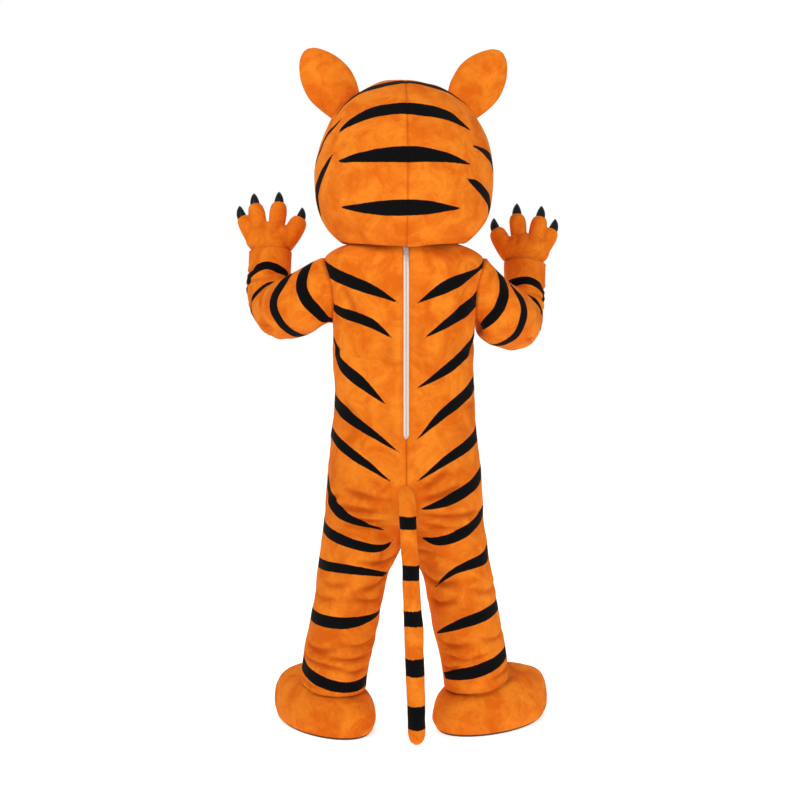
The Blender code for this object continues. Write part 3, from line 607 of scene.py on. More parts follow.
def edgeTurn(height, front):
    rise = (height - suit["armholeHeight"]) / suit["armholeRise"]
    edge = suit["armholeDepth"] * np.sqrt(np.maximum(1 - rise * rise, 0.0))
    front = np.asarray(front, bool)
    depth = np.where(front, tableCurve(suit["torso"], 3, height), tableCurve(suit["torso"], 2, height))
    return np.arccos(np.clip((edge / depth) ** (1 / suit["planFullness"]), 0, 1))


def suitPoint(height, share, front, side):
    height, share = np.broadcast_arrays(np.asarray(height, float), np.asarray(share, float))
    legs = eased((suit["hip"] - height) / (suit["hip"] - suit["crotch"]))[..., None]
    slot = suit["halfSlot"] * eased(1 - (suit["zipBottom"] - height) / suit["zipEnd"])
    start = 0.0 if front else np.arcsin(slot / tableCurve(suit["torso"], 1, height))
    turn = start + (edgeTurn(height, front) - start) * share
    return mixed(torsoPoint(height, turn, front), legPoint(height, share, front, side), legs)


def roundSuit(height, around, side):
    # around is 0 at the back's inner edge, 1 at the side and 2 at the front's inner edge
    back = suitPoint(height, np.minimum(around, 1.0), False, side)
    front = suitPoint(height, np.clip(2 - around, 0, 1), True, side)
    turn = np.pi / 2 * np.where(around > 1, 2 - around, around)
    torso = torsoPoint(height, turn, around > 1)
    point = np.where((around > 1)[..., None], front, back)
    point = np.where((height > suit["hip"])[..., None], torso, point)
    return point * np.array([side, 1, 1])


# stripes of the suit: rows of around, height and half width
suitStripes = {
    1: [
        [(0.74, 1.345, 0.019), (0.32, 1.300, 0.0155), (0.05, 1.253, 0)],
        [(0.80, 1.258, 0.004), (0.74, 1.235, 0.013), (0.345, 1.199, 0.014), (0.11, 1.149, 0)],
        [
            (1.1, 1.16, 0.012), (0.87, 1.137, 0.012), (0.73, 1.083, 0.016), (0.44, 1.030, 0.0165),
            (0.16, 0.961, 0),
        ],
        [(1.0, 0.974, 0.022), (0.42, 0.903, 0.014), (0.03, 0.824, 0)],
        [(0.99, 0.875, 0.015), (0.445, 0.813, 0.013), (0.10, 0.743, 0)],
        [(0.93, 0.729, 0.018), (0.66, 0.66, 0.018), (0.22, 0.60, 0)],
        [(0.917, 0.60, 0.017), (0.41, 0.553, 0.012), (0.215, 0.573, 0)],
        [(0.95, 0.493, 0.015), (0.537, 0.491, 0.013), (0.12, 0.462, 0.006)],
        [(0.95, 0.342, 0.0175), (0.5, 0.336, 0.017), (0.05, 0.355, 0.004)],
        [(0.95, 0.192, 0.02), (0.45, 0.162, 0.016), (0.08, 0.162, 0.018)],
    ],
    -1: [
        [(0.72, 1.353, 0.006), (0.36, 1.309, 0.018), (0.075, 1.251, 0)],
        [(0.72, 1.2595, 0.022), (0.45, 1.209, 0.016), (0.145, 1.149, 0)],
        [(1.05, 1.19, 0.012), (0.82, 1.142, 0.017), (0.38, 1.062, 0.0135), (0.075, 1.007, 0)],
        [(0.87, 1.02, 0.019), (0.38, 0.946, 0.015), (0.075, 0.862, 0)],
        [(0.90, 0.871, 0.019), (0.40, 0.813, 0.0135), (0.06, 0.743, 0)],
        [(0.93, 0.766, 0.017), (0.39, 0.694, 0.0155), (0.07, 0.666, 0)],
        [(0.81, 0.635, 0.0155), (0.46, 0.576, 0.0145), (0.228, 0.58, 0)],
        [(1.05, 0.54, 0.012), (0.80, 0.515, 0.018), (0.5, 0.488, 0.010), (0.19, 0.421, 0)],
        [(0.86, 0.3645, 0.017), (0.47, 0.334, 0.0155), (0.06, 0.283, 0)],
        [(0.90, 0.223, 0.017), (0.45, 0.196, 0.019), (0.12, 0.175, 0.010)],
    ],
}


def roundStripe(rows, side, frontTip=0.34):
    back = [row for row in rows if row[0] < 0.96]
    first, second = rows[0], rows[1]
    slope = (first[1] - second[1]) / max(first[0] - second[0], 0.05)
    height = first[1] + slope * max(1.0 - first[0], -0.1) * 0.6
    middle = (1.0, height, max(first[2], 0.012))
    front = [(2 - (frontTip + (1 - frontTip) * a), h + 0.012 * (1 - a), w) for a, h, w in back]
    around, heights, half = throughPoints(front[::-1] + [middle] + back, 44)
    return roundSuit(heights, around, side), np.maximum(half, 0.0)


suitStrokes = {side: [roundStripe(rows, side) for rows in suitStripes[side]] for side in (1, -1)}

# creases of the suit: side, points of around and height, depth, half width
suitCreases = [
    (1, [(0.04, 0.690), (0.30, 0.700), (0.60, 0.722)], 0.0050, 0.010),
    (1, [(0.05, 0.665), (0.35, 0.662), (0.70, 0.672)], 0.0045, 0.009),
    (1, [(0.08, 0.640), (0.30, 0.632), (0.55, 0.640)], 0.0040, 0.008),
    (1, [(0.15, 0.618), (0.40, 0.612), (0.60, 0.622)], 0.0032, 0.007),
    (1, [(0.04, 0.712), (0.22, 0.735), (0.42, 0.775)], 0.0036, 0.010),
    (1, [(0.95, 0.700), (0.75, 0.690), (0.62, 0.700)], 0.0030, 0.010),
    (-1, [(0.04, 0.692), (0.28, 0.705), (0.55, 0.735)], 0.0046, 0.010),
    (-1, [(0.06, 0.655), (0.40, 0.642), (0.85, 0.655)], 0.0040, 0.009),
    (-1, [(0.10, 0.625), (0.35, 0.612), (0.70, 0.603)], 0.0038, 0.008),
    (-1, [(0.04, 0.712), (0.20, 0.738), (0.40, 0.785)], 0.0034, 0.010),
    (1, [(0.05, 0.520), (0.30, 0.505), (0.55, 0.515)], 0.0045, 0.010),
    (1, [(0.02, 0.470), (0.25, 0.440), (0.45, 0.420)], 0.0040, 0.010),
    (1, [(0.05, 0.400), (0.25, 0.392), (0.50, 0.405)], 0.0040, 0.009),
    (1, [(0.85, 0.455), (0.70, 0.440), (0.50, 0.452)], 0.0032, 0.010),
    (1, [(0.98, 0.415), (0.80, 0.398), (0.62, 0.404)], 0.0034, 0.009),
    (-1, [(0.04, 0.520), (0.25, 0.535), (0.45, 0.530)], 0.0040, 0.010),
    (-1, [(0.04, 0.470), (0.25, 0.440), (0.50, 0.452)], 0.0045, 0.010),
    (-1, [(0.05, 0.395), (0.22, 0.380), (0.45, 0.395)], 0.0042, 0.009),
    (-1, [(0.95, 0.430), (0.75, 0.415), (0.55, 0.430)], 0.0034, 0.010),
    (1, [(0.04, 0.292), (0.28, 0.268), (0.55, 0.276)], 0.0048, 0.009),
    (1, [(0.95, 0.262), (0.75, 0.250), (0.50, 0.262)], 0.0044, 0.009),
    (1, [(0.05, 0.245), (0.35, 0.232), (0.68, 0.240)], 0.0046, 0.008),
    (1, [(0.98, 0.222), (0.70, 0.214), (0.35, 0.210)], 0.0046, 0.008),
    (1, [(0.10, 0.205), (0.30, 0.196), (0.50, 0.205)], 0.0038, 0.007),
    (-1, [(0.04, 0.285), (0.25, 0.262), (0.55, 0.272)], 0.0046, 0.009),
    (-1, [(0.98, 0.290), (0.78, 0.276), (0.55, 0.284)], 0.0042, 0.009),
    (-1, [(0.06, 0.245), (0.40, 0.228), (0.75, 0.250)], 0.0044, 0.008),
    (-1, [(0.04, 0.205), (0.20, 0.196), (0.42, 0.222)], 0.0040, 0.008),
    (-1, [(0.98, 0.180), (0.75, 0.168), (0.55, 0.170)], 0.0034, 0.007),
    (1, [(0.98, 0.150), (0.70, 0.146), (0.55, 0.150)], 0.0030, 0.006),
    (1, [(0.62, 1.330), (0.50, 1.255), (0.46, 1.190)], 0.0034, 0.014),
    (-1, [(0.62, 1.330), (0.50, 1.255), (0.47, 1.190)], 0.0034, 0.014),
    (1, [(0.98, 1.150), (0.80, 1.120), (0.62, 1.122)], 0.0030, 0.012),
    (-1, [(0.98, 1.150), (0.80, 1.118), (0.62, 1.120)], 0.0030, 0.012),
    (1, [(0.95, 0.960), (0.70, 0.945), (0.50, 0.955)], 0.0020, 0.014),
    (-1, [(0.95, 0.975), (0.72, 0.955), (0.50, 0.962)], 0.0020, 0.014),
    # the front, in the same way
    (1, [(1.97, 0.690), (1.70, 0.705), (1.45, 0.735)], 0.0042, 0.010),
    (-1, [(1.97, 0.690), (1.70, 0.708), (1.42, 0.732)], 0.0042, 0.010),
    (1, [(1.95, 0.640), (1.65, 0.650), (1.40, 0.645)], 0.0040, 0.009),
    (-1, [(1.95, 0.645), (1.68, 0.648), (1.35, 0.652)], 0.0040, 0.009),
    (1, [(1.85, 0.430), (1.50, 0.415), (1.20, 0.430)], 0.0040, 0.010),
    (-1, [(1.85, 0.435), (1.50, 0.418), (1.15, 0.428)], 0.0040, 0.010),
    (1, [(1.85, 0.280), (1.50, 0.262), (1.15, 0.272)], 0.0044, 0.009),
    (-1, [(1.90, 0.276), (1.55, 0.264), (1.15, 0.280)], 0.0044, 0.009),
    (1, [(1.90, 0.232), (1.50, 0.218), (1.10, 0.230)], 0.0044, 0.008),
    (-1, [(1.88, 0.235), (1.52, 0.222), (1.12, 0.226)], 0.0044, 0.008),
]


def creaseLine(points, side):
    around, heights = throughPoints(points, 14)
    return roundSuit(heights, around, side)


suitFolds = [(creaseLine(points, side), depth, width) for side, points, depth, width in suitCreases]


def armholePoint(angle, side):
    height = suit["armholeHeight"] - suit["armholeRise"] * np.cos(angle)
    front = np.mod(angle, 2 * np.pi) > np.pi
    return torsoPoint(height, edgeTurn(height, front), front) * np.array([side, 1, 1])


def armholeLine(side):
    return armholePoint(2 * np.pi * np.arange(49) / 48, side)


def calmNear(points):
    # the cloth lies flat beside the zip and meets the sleeve evenly at the armhole
    height = points[..., 2] + neckHeight
    zipSide = np.where(points[..., 1] > 0, eased((np.abs(points[..., 0]) - 0.018) / 0.03), 1.0)
    zipSide = np.where(height > suit["zipBottom"] - 0.03, zipSide, 1.0)
    edge = np.full(points.shape[:-1], 9.0)
    for side in (1, -1):
        distance, _ = lineDistance(points, armholeLine(side))
        edge = np.minimum(edge, distance)
    return zipSide * eased(edge / 0.03)


def suitRelief(points):
    return (foldField(points, suitFolds) + softWaves(points)) * calmNear(points)


def makeSuitPanel(side, front):
    label = "front" if front else "back"
    node = f"suit_{label}_{turned[side]}"
    rows = int((suit["top"] - suit["hem"]) / cell)
    heights = suit["hem"] + (suit["top"] - suit["hem"]) * spread(rows)
    shares = spread(int(0.36 / cell))
    tall, wide = np.meshgrid(heights, shares, indexing="ij")
    points = suitPoint(tall, wide, front, side) * np.array([side, 1, 1])
    normals = gridNormals(points, sign=side * (1 if front else -1))
    dip = seamDip(points, rows=(False, False))
    dip *= np.where(tall > suit["armholeHeight"] - suit["armholeRise"], 1 - eased((wide - 0.8) / 0.1), 1.0)
    relief = suitRelief(points)
    outer = points + normals * (relief - dip)[..., None]
    inner = outer - normals * suit["cloth"]
    for grid in (outer, inner):
        grid[..., 0] = side * np.maximum(grid[..., 0] * side, seam["gap"] / 2)
    field = strokeField(points, suitStrokes[side])
    # painted shade in the creases and along the seams
    hollow = creaseShade(relief) + seamShade(dip)
    panel = wall(
        f"suit{label.title()}{turned[side].title()}", outer, inner, orangePlush, field=field,
        slot="orange_plush", hollow=hollow,
    )
    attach(panel, body)
    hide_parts(node)


for side in (1, -1):
    for front in (False, True):
        makeSuitPanel(side, front)
print("suit panels made")


# sleeves
sleeve = {
    "flat": (0.60, 0.50), "area": 0.235,
    "start": (0.226, 0.0, 1.29, 0.095),
    # x, y, height and radius down the arm
    1: [
        (0.285, -0.016, 1.261, 0.092), (0.334, -0.056, 1.238, 0.089), (0.366, -0.106, 1.228, 0.082),
        (0.388, -0.152, 1.238, 0.073), (0.403, -0.188, 1.278, 0.068), (0.407, -0.214, 1.342, 0.066),
        (0.407, -0.234, 1.412, 0.066),
    ],
    -1: [
        (-0.272, -0.013, 1.231, 0.094), (-0.316, -0.056, 1.207, 0.089), (-0.341, -0.106, 1.194, 0.081),
        (-0.357, -0.156, 1.204, 0.074), (-0.373, -0.196, 1.246, 0.068), (-0.384, -0.222, 1.308, 0.065),
        (-0.391, -0.240, 1.378, 0.066),
    ],
}
# turns round the sleeve from its lower side, metres from the armhole, half width
sleeveStripes = {
    1: [
        [
            (0.50, 0.028, 0.016), (0.417, 0.042, 0.0165), (0.367, 0.050, 0.0170), (0.30, 0.056, 0.0170),
            (0.217, 0.050, 0.0170), (0.13, 0.028, 0.015), (0.058, 0.0, 0.012),
        ],
        [
            (0.47, 0.070, 0.012), (0.383, 0.086, 0.0160), (0.317, 0.108, 0.0170), (0.258, 0.117, 0.0165),
            (0.183, 0.117, 0.0158), (0.10, 0.117, 0.0145), (0.008, 0.123, 0.011), (-0.06, 0.128, 0.006),
        ],
        [
            (0.56, 0.304, 0.004), (0.492, 0.298, 0.0085), (0.408, 0.280, 0.0105), (0.325, 0.268, 0.0108),
            (0.25, 0.260, 0.0095), (0.22, 0.245, 0.007), (0.19, 0.230, 0.0),
        ],
        [
            (0.70, 0.350, 0.010), (0.60, 0.364, 0.0125), (0.525, 0.376, 0.0130), (0.458, 0.381, 0.0130),
            (0.383, 0.370, 0.0130), (0.31, 0.350, 0.0125), (0.28, 0.328, 0.010), (0.24, 0.306, 0.0),
        ],
    ],
    -1: [
        [
            (0.74, 0.358, 0.008), (0.658, 0.368, 0.0115), (0.60, 0.374, 0.0130), (0.508, 0.380, 0.0130),
            (0.425, 0.374, 0.0130), (0.345, 0.362, 0.0125), (0.295, 0.342, 0.011), (0.25, 0.318, 0.0),
        ],
        [
            (0.58, 0.308, 0.0), (0.533, 0.304, 0.006), (0.475, 0.302, 0.0080), (0.408, 0.297, 0.0085),
            (0.345, 0.286, 0.0085), (0.305, 0.258, 0.0080), (0.285, 0.230, 0.0070), (0.262, 0.208, 0.0),
        ],
        [
            (0.47, 0.056, 0.0), (0.42, 0.072, 0.0085), (0.367, 0.090, 0.0145), (0.325, 0.098, 0.0152),
            (0.258, 0.104, 0.0155), (0.183, 0.108, 0.0150), (0.108, 0.106, 0.013), (0.008, 0.110, 0.0095),
            (-0.06, 0.115, 0.003),
        ],
        [
            (0.50, 0.030, 0.012), (0.425, 0.044, 0.0150), (0.37, 0.052, 0.0160), (0.30, 0.059, 0.0160),
            (0.217, 0.060, 0.0150), (0.125, 0.048, 0.0135), (0.03, 0.018, 0.009),
        ],
    ],
}
# creases: turns, metres from the armhole, depth, half width
sleeveCreases = [
    ([(0.32, 0.185), (0.48, 0.195), (0.62, 0.185)], 0.0060, 0.008),
    ([(0.30, 0.215), (0.50, 0.212), (0.68, 0.222)], 0.0060, 0.008),
    ([(0.26, 0.240), (0.46, 0.236), (0.66, 0.245)], 0.0050, 0.007),
    ([(0.30, 0.160), (0.42, 0.168), (0.55, 0.165)], 0.0040, 0.008),
    ([(0.10, 0.325), (0.30, 0.338), (0.52, 0.330)], 0.0035, 0.006),
    ([(0.02, 0.372), (0.22, 0.380), (0.45, 0.374)], 0.0035, 0.006),
    ([(0.45, 0.352), (0.65, 0.362), (0.95, 0.350)], 0.0035, 0.006),
    ([(0.10, 0.268), (0.24, 0.275), (0.40, 0.268)], 0.0034, 0.006),
    ([(0.16, 0.225), (0.10, 0.195), (0.08, 0.165)], 0.0034, 0.009),
    ([(0.24, 0.215), (0.20, 0.180), (0.20, 0.150)], 0.0030, 0.009),
    ([(0.55, 0.300), (0.75, 0.312), (0.95, 0.300)], 0.0034, 0.007),
    ([(0.55, 0.130), (0.72, 0.150), (0.85, 0.140)], 0.0034, 0.009),
]


def sleeveRings(side, columns):
    start = (side * sleeve["start"][0],) + sleeve["start"][1:]
    table = numbered([start] + sleeve[side])
    fine = np.linspace(0, len(table) - 1, 400)
    line = np.stack([tableCurve(table, c, fine) for c in (1, 2, 3)], -1)
    run = np.concatenate([[0], np.cumsum(np.linalg.norm(np.diff(line, axis=0), axis=1))])
    steps = np.interp(run[-1] * spread(int(run[-1] / cell)), run, fine)
    angles = 2 * np.pi * np.arange(columns) / columns
    root = armholePoint(angles, side)
    rootCentre = root.mean(0)
    down = np.array([0.0, 0.0, -1.0])
    rings = []
    for step in steps:
        centre, ahead, before = (
            np.array([float(tableCurve(table, c, at)) for c in (1, 2, 3)]) - (0, 0, neckHeight)
            for at in (step, step + 0.05, step - 0.05)
        )
        axis = unit(ahead - before)
        down = unit(down - axis * (down @ axis))
        round_ = ringAbout(centre, axis, down, float(tableCurve(table, 4, step)), angles, side)
        rings.append(mixed(root + (centre - rootCentre), round_, eased(2 * step / 3)) if step > 0 else root)
    return np.array(rings), np.interp(steps, fine, run)


def onTube(rings, runs, turns, metres):
    # points on a grid of rings at turns round it and metres along it
    rows, columns = rings.shape[:2]
    r = np.interp(metres, runs, np.arange(rows))
    c = np.mod(turns, 1.0) * columns
    r0, c0 = np.floor(r).astype(int), np.floor(c).astype(int)
    r1, c1 = np.minimum(r0 + 1, rows - 1), (c0 + 1) % columns
    fr, fc = (r - r0)[:, None], (c - c0)[:, None]
    c0 = c0 % columns
    return mixed(mixed(rings[r0, c0], rings[r0, c1], fc), mixed(rings[r1, c0], rings[r1, c1], fc), fr)


def makeSleeve(side):
    rings, runs = sleeveRings(side, 84)
    strokes = []
    for rows in sleeveStripes[side]:
        turns, metres, half = throughPoints(rows, 30)
        strokes.append((onTube(rings, runs, turns, metres), np.maximum(half, 0)))
    folds = []
    for rows, depth, width in sleeveCreases:
        turns, metres = throughPoints(rows, 14)
        folds.append((onTube(rings, runs, turns, metres), depth, width))
    normals = facingOut(gridNormals(rings, wrap=True, sign=side), rings - rings.mean(1, keepdims=True))
    calm = eased(runs / 0.03)[:, None]
    creases = foldField(rings, folds) * calm
    lift = creases + softWaves(rings) * calm
    outer = rings + normals * lift[..., None]
    inner = outer - normals * suit["cloth"]
    # painted shade in the sleeve's creases and along its armhole and wrist seams
    made = wall(
        f"sleeve{turned[side].title()}", outer, inner, orangePlush, wrap=True,
        field=strokeField(rings, strokes), slot="orange_plush",
        hollow=creaseShade(creases) + seamShade(seamDip(rings, wrap=True)),
    )
    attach(made, body)
    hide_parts(f"sleeve_{turned[side]}")


for side in (1, -1):
    makeSleeve(side)
print("sleeves made")


# head: a foam shell covered in plush
head = {
    "waist": 1.605, "halfWidth": 0.262, "back": 0.250, "front": 0.240, "up": 0.298, "down": 0.228,
    "upFullness": 2.15, "downFullness": 2.3, "rim": 1.409, "rimSideRise": 0.018, "shell": 0.012,
    "backFlat": (0.46, 0.60), "backArea": 0.192, "faceFlat": (0.90, 0.60), "faceArea": 0.37,
}


def headPoint(turn, height):
    turn, height = np.broadcast_arrays(np.asarray(turn, float), np.asarray(height, float))
    up = height >= head["waist"]
    reach = np.where(up, head["up"], head["down"])
    power = np.where(up, head["upFullness"], head["downFullness"])
    rise = np.minimum(np.abs(height - head["waist"]) / reach, 1.0)
    size = (1 - rise**power) ** (1 / power)
    depth = np.where(np.cos(turn) > 0, head["back"], head["front"])
    return np.stack(
        [head["halfWidth"] * np.sin(turn) * size, depth * np.cos(turn) * size, height - neckHeight], -1,
    )


def headNormal(points):
    up = points[..., 2] + neckHeight - head["waist"]
    reach = np.where(up >= 0, head["up"], head["down"])
    power = np.where(up >= 0, head["upFullness"], head["downFullness"])
    depth = np.where(points[..., 1] > 0, head["back"], head["front"])
    x, y = points[..., 0] / head["halfWidth"], points[..., 1] / depth
    across = np.maximum(np.hypot(x, y), 1e-5)
    pull = across ** (power - 2)
    slope = np.stack(
        [
            pull * x / head["halfWidth"], pull * y / depth,
            (np.abs(up) / reach) ** (power - 1) * np.sign(up) / reach,
        ],
        -1,
    )
    return unit(slope)


def headRows(turn, shares):
    rim = head["rim"] + head["rimSideRise"] * np.sin(turn) ** 2
    low = np.arcsin(-(((head["waist"] - rim) / head["down"]) ** (head["downFullness"] / 2)))
    angle = low + (np.pi / 2 - low) * shares
    up = angle > 0
    power = np.where(up, head["upFullness"], head["downFullness"])
    reach = np.where(up, head["up"], -head["down"])
    return head["waist"] + reach * np.abs(np.sin(angle)) ** (2 / power)


# degrees from the middle of the back, height, half width
headStripes = [
    [
        (53.5, 1.725, 0), (47.5, 1.747, 0.0085), (37, 1.765, 0.0150), (21, 1.784, 0.0200), (1, 1.791, 0.0212),
        (-16, 1.786, 0.0215), (-32.5, 1.773, 0.0170), (-41.5, 1.756, 0.0095), (-52, 1.737, 0),
    ],
    [
        (52, 1.646, 0), (41.5, 1.648, 0.007), (32, 1.652, 0.0125), (17.5, 1.656, 0.0195),
        (1.5, 1.658, 0.0228), (-12.5, 1.657, 0.0200), (-26.5, 1.652, 0.0130), (-35.5, 1.645, 0.007),
        (-44.5, 1.638, 0),
    ],
    [
        (51, 1.521, 0), (42, 1.517, 0.006), (33, 1.514, 0.0120), (18, 1.512, 0.0203), (1.5, 1.512, 0.0234),
        (-13, 1.513, 0.0200), (-25.5, 1.514, 0.0105), (-38, 1.516, 0),
    ],
    [
        (69.5, 1.797, 0.005), (64.5, 1.829, 0.012), (56, 1.858, 0.017), (34.5, 1.871, 0.018),
        (0, 1.883, 0.020), (-35.5, 1.875, 0.018), (-60, 1.862, 0.017), (-72, 1.831, 0.014),
        (-78, 1.798, 0.010), (-79.5, 1.768, 0.004),
    ],
    [
        (53.5, 1.780, 0), (60, 1.757, 0.006), (73.5, 1.723, 0.009), (80, 1.684, 0.010), (100, 1.655, 0.010),
        (125, 1.640, 0),
    ],
    [
        (51, 1.677, 0), (60, 1.646, 0.0095), (69.5, 1.604, 0.015), (78, 1.564, 0.018), (81, 1.527, 0.013),
        (82, 1.498, 0),
    ],
    [
        (-44.5, 1.696, 0), (-54.5, 1.689, 0.006), (-64.5, 1.679, 0.0120), (-75.5, 1.664, 0.014),
        (-83, 1.642, 0.013), (-95, 1.615, 0.009), (-110, 1.600, 0),
    ],
    [
        (-38, 1.599, 0), (-48.5, 1.584, 0.0120), (-60, 1.562, 0.0145), (-71, 1.541, 0.0145),
        (-84.5, 1.508, 0.012), (-88, 1.480, 0),
    ],
    # the brow and cheeks of the face
    [(180, 1.868, 0.010), (180, 1.835, 0.013), (180, 1.782, 0)],
    [(158, 1.868, 0), (156, 1.838, 0.012), (163, 1.786, 0)],
    [(202, 1.868, 0), (204, 1.838, 0.012), (197, 1.786, 0)],
    [(118, 1.735, 0.010), (132, 1.728, 0.010), (146, 1.738, 0)],
    [(242, 1.735, 0.010), (228, 1.728, 0.010), (214, 1.738, 0)],
    [(112, 1.478, 0.010), (126, 1.492, 0.009), (138, 1.502, 0)],
    [(248, 1.478, 0.010), (234, 1.492, 0.009), (222, 1.502, 0)],
]


def headStroke(rows):
    turn, height, half = throughPoints(rows, 40)
    return headPoint(
        np.radians(turn), np.minimum(height, head["waist"] + head["up"] - 0.001),
    ), np.maximum(half, 0)


headStrokes = [headStroke(rows) for rows in headStripes]


def makeHeadPanel(node, low, high, columns):
    turns = low + (high - low) * spread(columns)
    shares = spread(int(0.66 / cell))
    turn, share = np.meshgrid(turns, shares, indexing="ij")
    turn, share = turn.T, share.T
    points = headPoint(turn, headRows(turn, share))
    normals = headNormal(points)
    fade = np.clip((1 - share) * 12, 0, 1)
    lift = 0.8 * softWaves(points) * fade - seamDip(points, rows=(True, False)) * fade
    outer = points + normals * lift[..., None]
    inner = outer - normals * head["shell"]
    outer[-1], inner[-1] = outer[-1].mean(0), inner[-1].mean(0)
    middle = (low + high) / 2
    aside = np.array([math.sin(middle), math.cos(middle), 0]) * seam["gap"]
    outer[-1] += aside
    inner[-1] += aside
    # painted shade along the head panels' seams
    made = wall(
        re.sub("_(.)", lambda found: found[1].upper(), node), outer, inner, orangePlush,
        field=strokeField(points, headStrokes), slot="orange_plush",
        hollow=seamShade(seamDip(points, rows=(True, False)) * fade),
    )
    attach(made, body)
    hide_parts(node)


makeHeadPanel("head_back_left", 0, math.pi / 2, 66)
makeHeadPanel("head_back_right", -math.pi / 2, 0, 66)
makeHeadPanel("head_face", math.pi / 2, 3 * math.pi / 2, 128)
print("head made")


# ears
ear = {
    # along, half width, half thickness
    "rows": [
        (0.000, 0.056, 0.014), (0.040, 0.069, 0.019), (0.085, 0.075, 0.020), (0.130, 0.067, 0.018),
        (0.165, 0.049, 0.015), (0.190, 0.027, 0.011), (0.199, 0.010, 0.007),
    ],
    "foot": (0.170, -0.012, 1.832), "spread": math.radians(36), "edge": 0.30,
}


def headBelow(points, way):
    # where lines along `way` meet the head, coming from outside
    near, far = np.full(points.shape[:-1], -0.12), np.full(points.shape[:-1], 0.12)
    for _ in range(36):
        middle = (near + far) / 2
        p = points + way * middle[..., None]
        rise = np.minimum(np.abs(p[..., 2] + neckHeight - head["waist"]) / head["up"], 1.0)
        size = (1 - rise ** head["upFullness"]) ** (1 / head["upFullness"])
        depth = np.where(p[..., 1] > 0, head["back"], head["front"])
        outside = np.hypot(p[..., 0] / head["halfWidth"], p[..., 1] / depth) > size
        near, far = np.where(outside, middle, near), np.where(outside, far, middle)
    return points + way * near[..., None]


def makeEar(side):
    axis = np.array([side * math.sin(ear["spread"]), 0, math.cos(ear["spread"])])
    across = np.array([side * math.cos(ear["spread"]), 0, -math.sin(ear["spread"])])
    foot = np.array([side * ear["foot"][0], ear["foot"][1], ear["foot"][2] - neckHeight])
    angles = 2 * np.pi * np.arange(72) / 72
    top = ear["rows"][-1][0]
    along = top * np.sin(np.linspace(0, 1, 46) * np.pi / 2)
    a, u = np.meshgrid(along, angles, indexing="ij")
    s = np.cos(u)
    dome = (ear["edge"] + (1 - ear["edge"]) * np.abs(np.sin(u))) * np.clip(
        np.abs(np.sin(u)) * 3.2, 0, 1,
    ) ** 0.6
    half = tableCurve(ear["rows"], 1, a)
    bow = 0.018 * (s * s - 0.4) * half / 0.07
    thick = tableCurve(ear["rows"], 2, a) * dome * np.sign(np.sin(u))
    points = foot + axis * a[
        ..., None,
    ] + across * (s * half)[..., None] + np.array([0, 1, 0]) * (thick - bow)[..., None]
    base = headBelow(points[0], -axis) - axis * 0.001
    share = np.clip(a / 0.04, 0, 1)[..., None]
    points = mixed(base + (points - points[0]), points, share)
    edge = np.exp(-(((1 - np.abs(s)) / 0.012) ** 2)) * 0.0010
    normals = facingOut(gridNormals(points, wrap=True), points - points.mean(1, keepdims=True))
    points = points + normals * (0.5 * softWaves(points) - edge)[..., None]
    made = tube(f"ear{turned[side].title()}", points, orangePlush, field=plain(points))
    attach(made, body)
    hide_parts(f"ear_{turned[side]}")


for side in (1, -1):
    makeEar(side)


# face pieces: turn, height, half width, half height, edge, bulge, what it lies on
facePieces = {
    "muzzle": (0.00, 1.535, 0.125, 0.072, 0.006, 0.062, None),
    "nose": (0.00, 1.566, 0.036, 0.024, 0.003, 0.020, "muzzle"),
    "eye_left": (-0.36, 1.672, 0.040, 0.052, 0.003, 0.012, None),
    "eye_right": (0.36, 1.672, 0.040, 0.052, 0.003, 0.012, None),
    "pupil_left": (-0.33, 1.664, 0.020, 0.027, 0.001, 0.003, "eye_left"),
    "pupil_right": (0.33, 1.664, 0.020, 0.027, 0.001, 0.003, "eye_right"),
}
faceLift = 0.0014
faceLooks = {
    "muzzle": (creamPlush, "cream_plush"), "nose": (clawVinyl, "black_vinyl"), "eye": (eyeWhite, "white_eye"),
    "pupil": (pupilVinyl, "black_vinyl"),
}


def standOff(name, turn, height):
    pieceTurn, pieceHeight, halfWidth, halfHeight, edge, bulge, on = facePieces[name]
    base = standOff(on, turn, height) if on else 0.0
    across = (turn - math.pi - pieceTurn) * head["halfWidth"] / halfWidth
    share = np.minimum(np.hypot(across, (height - pieceHeight) / halfHeight), 1.0)
    return base + faceLift + edge + bulge * np.sqrt(1 - 0.96 * share**2)


def makeFacePiece(name, around, rings):
    pieceTurn, pieceHeight, halfWidth, halfHeight, _, _, on = facePieces[name]
    shares = np.sin(np.linspace(0, 1, rings) * np.pi / 2)
    share, a = np.meshgrid(shares, 2 * np.pi * np.arange(around) / around, indexing="ij")
    turn = math.pi + pieceTurn + halfWidth * share * np.cos(a) / head["halfWidth"]
    height = pieceHeight + halfHeight * share * np.sin(a)
    points = headPoint(turn, height)
    normals = headNormal(points)
    below = standOff(on, turn, height) if on else np.zeros_like(turn)
    outer = points + normals * standOff(name, turn, height)[..., None]
    inner = points + normals * (below + faceLift)[..., None]
    outer[0], inner[0] = outer[0].mean(0), inner[0].mean(0)
    if name == "muzzle":
        cleft = np.exp(-((outer[..., 0] / 0.006) ** 2)) * eased((1.556 - height) / 0.02) * 0.004
        outer = outer - normals * cleft[..., None] + normals * (0.4 * softWaves(outer))[..., None]
    look, slot = faceLooks[name.split("_")[0]]
    label = name.split("_")[0] + (name.split("_")[1].title() if "_" in name else "Cover")
    made = wall(label, outer, inner, look, wrap=True, slot=slot)
    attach(made, body)
    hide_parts(name)


for name, around, rings in (
    ("muzzle", 72, 30), ("nose", 48, 16), ("eye_left", 48, 16), ("eye_right", 48, 16), ("pupil_left", 32, 8),
    ("pupil_right", 32, 8),
):
    makeFacePiece(name, around, rings)
print("ears and face made")


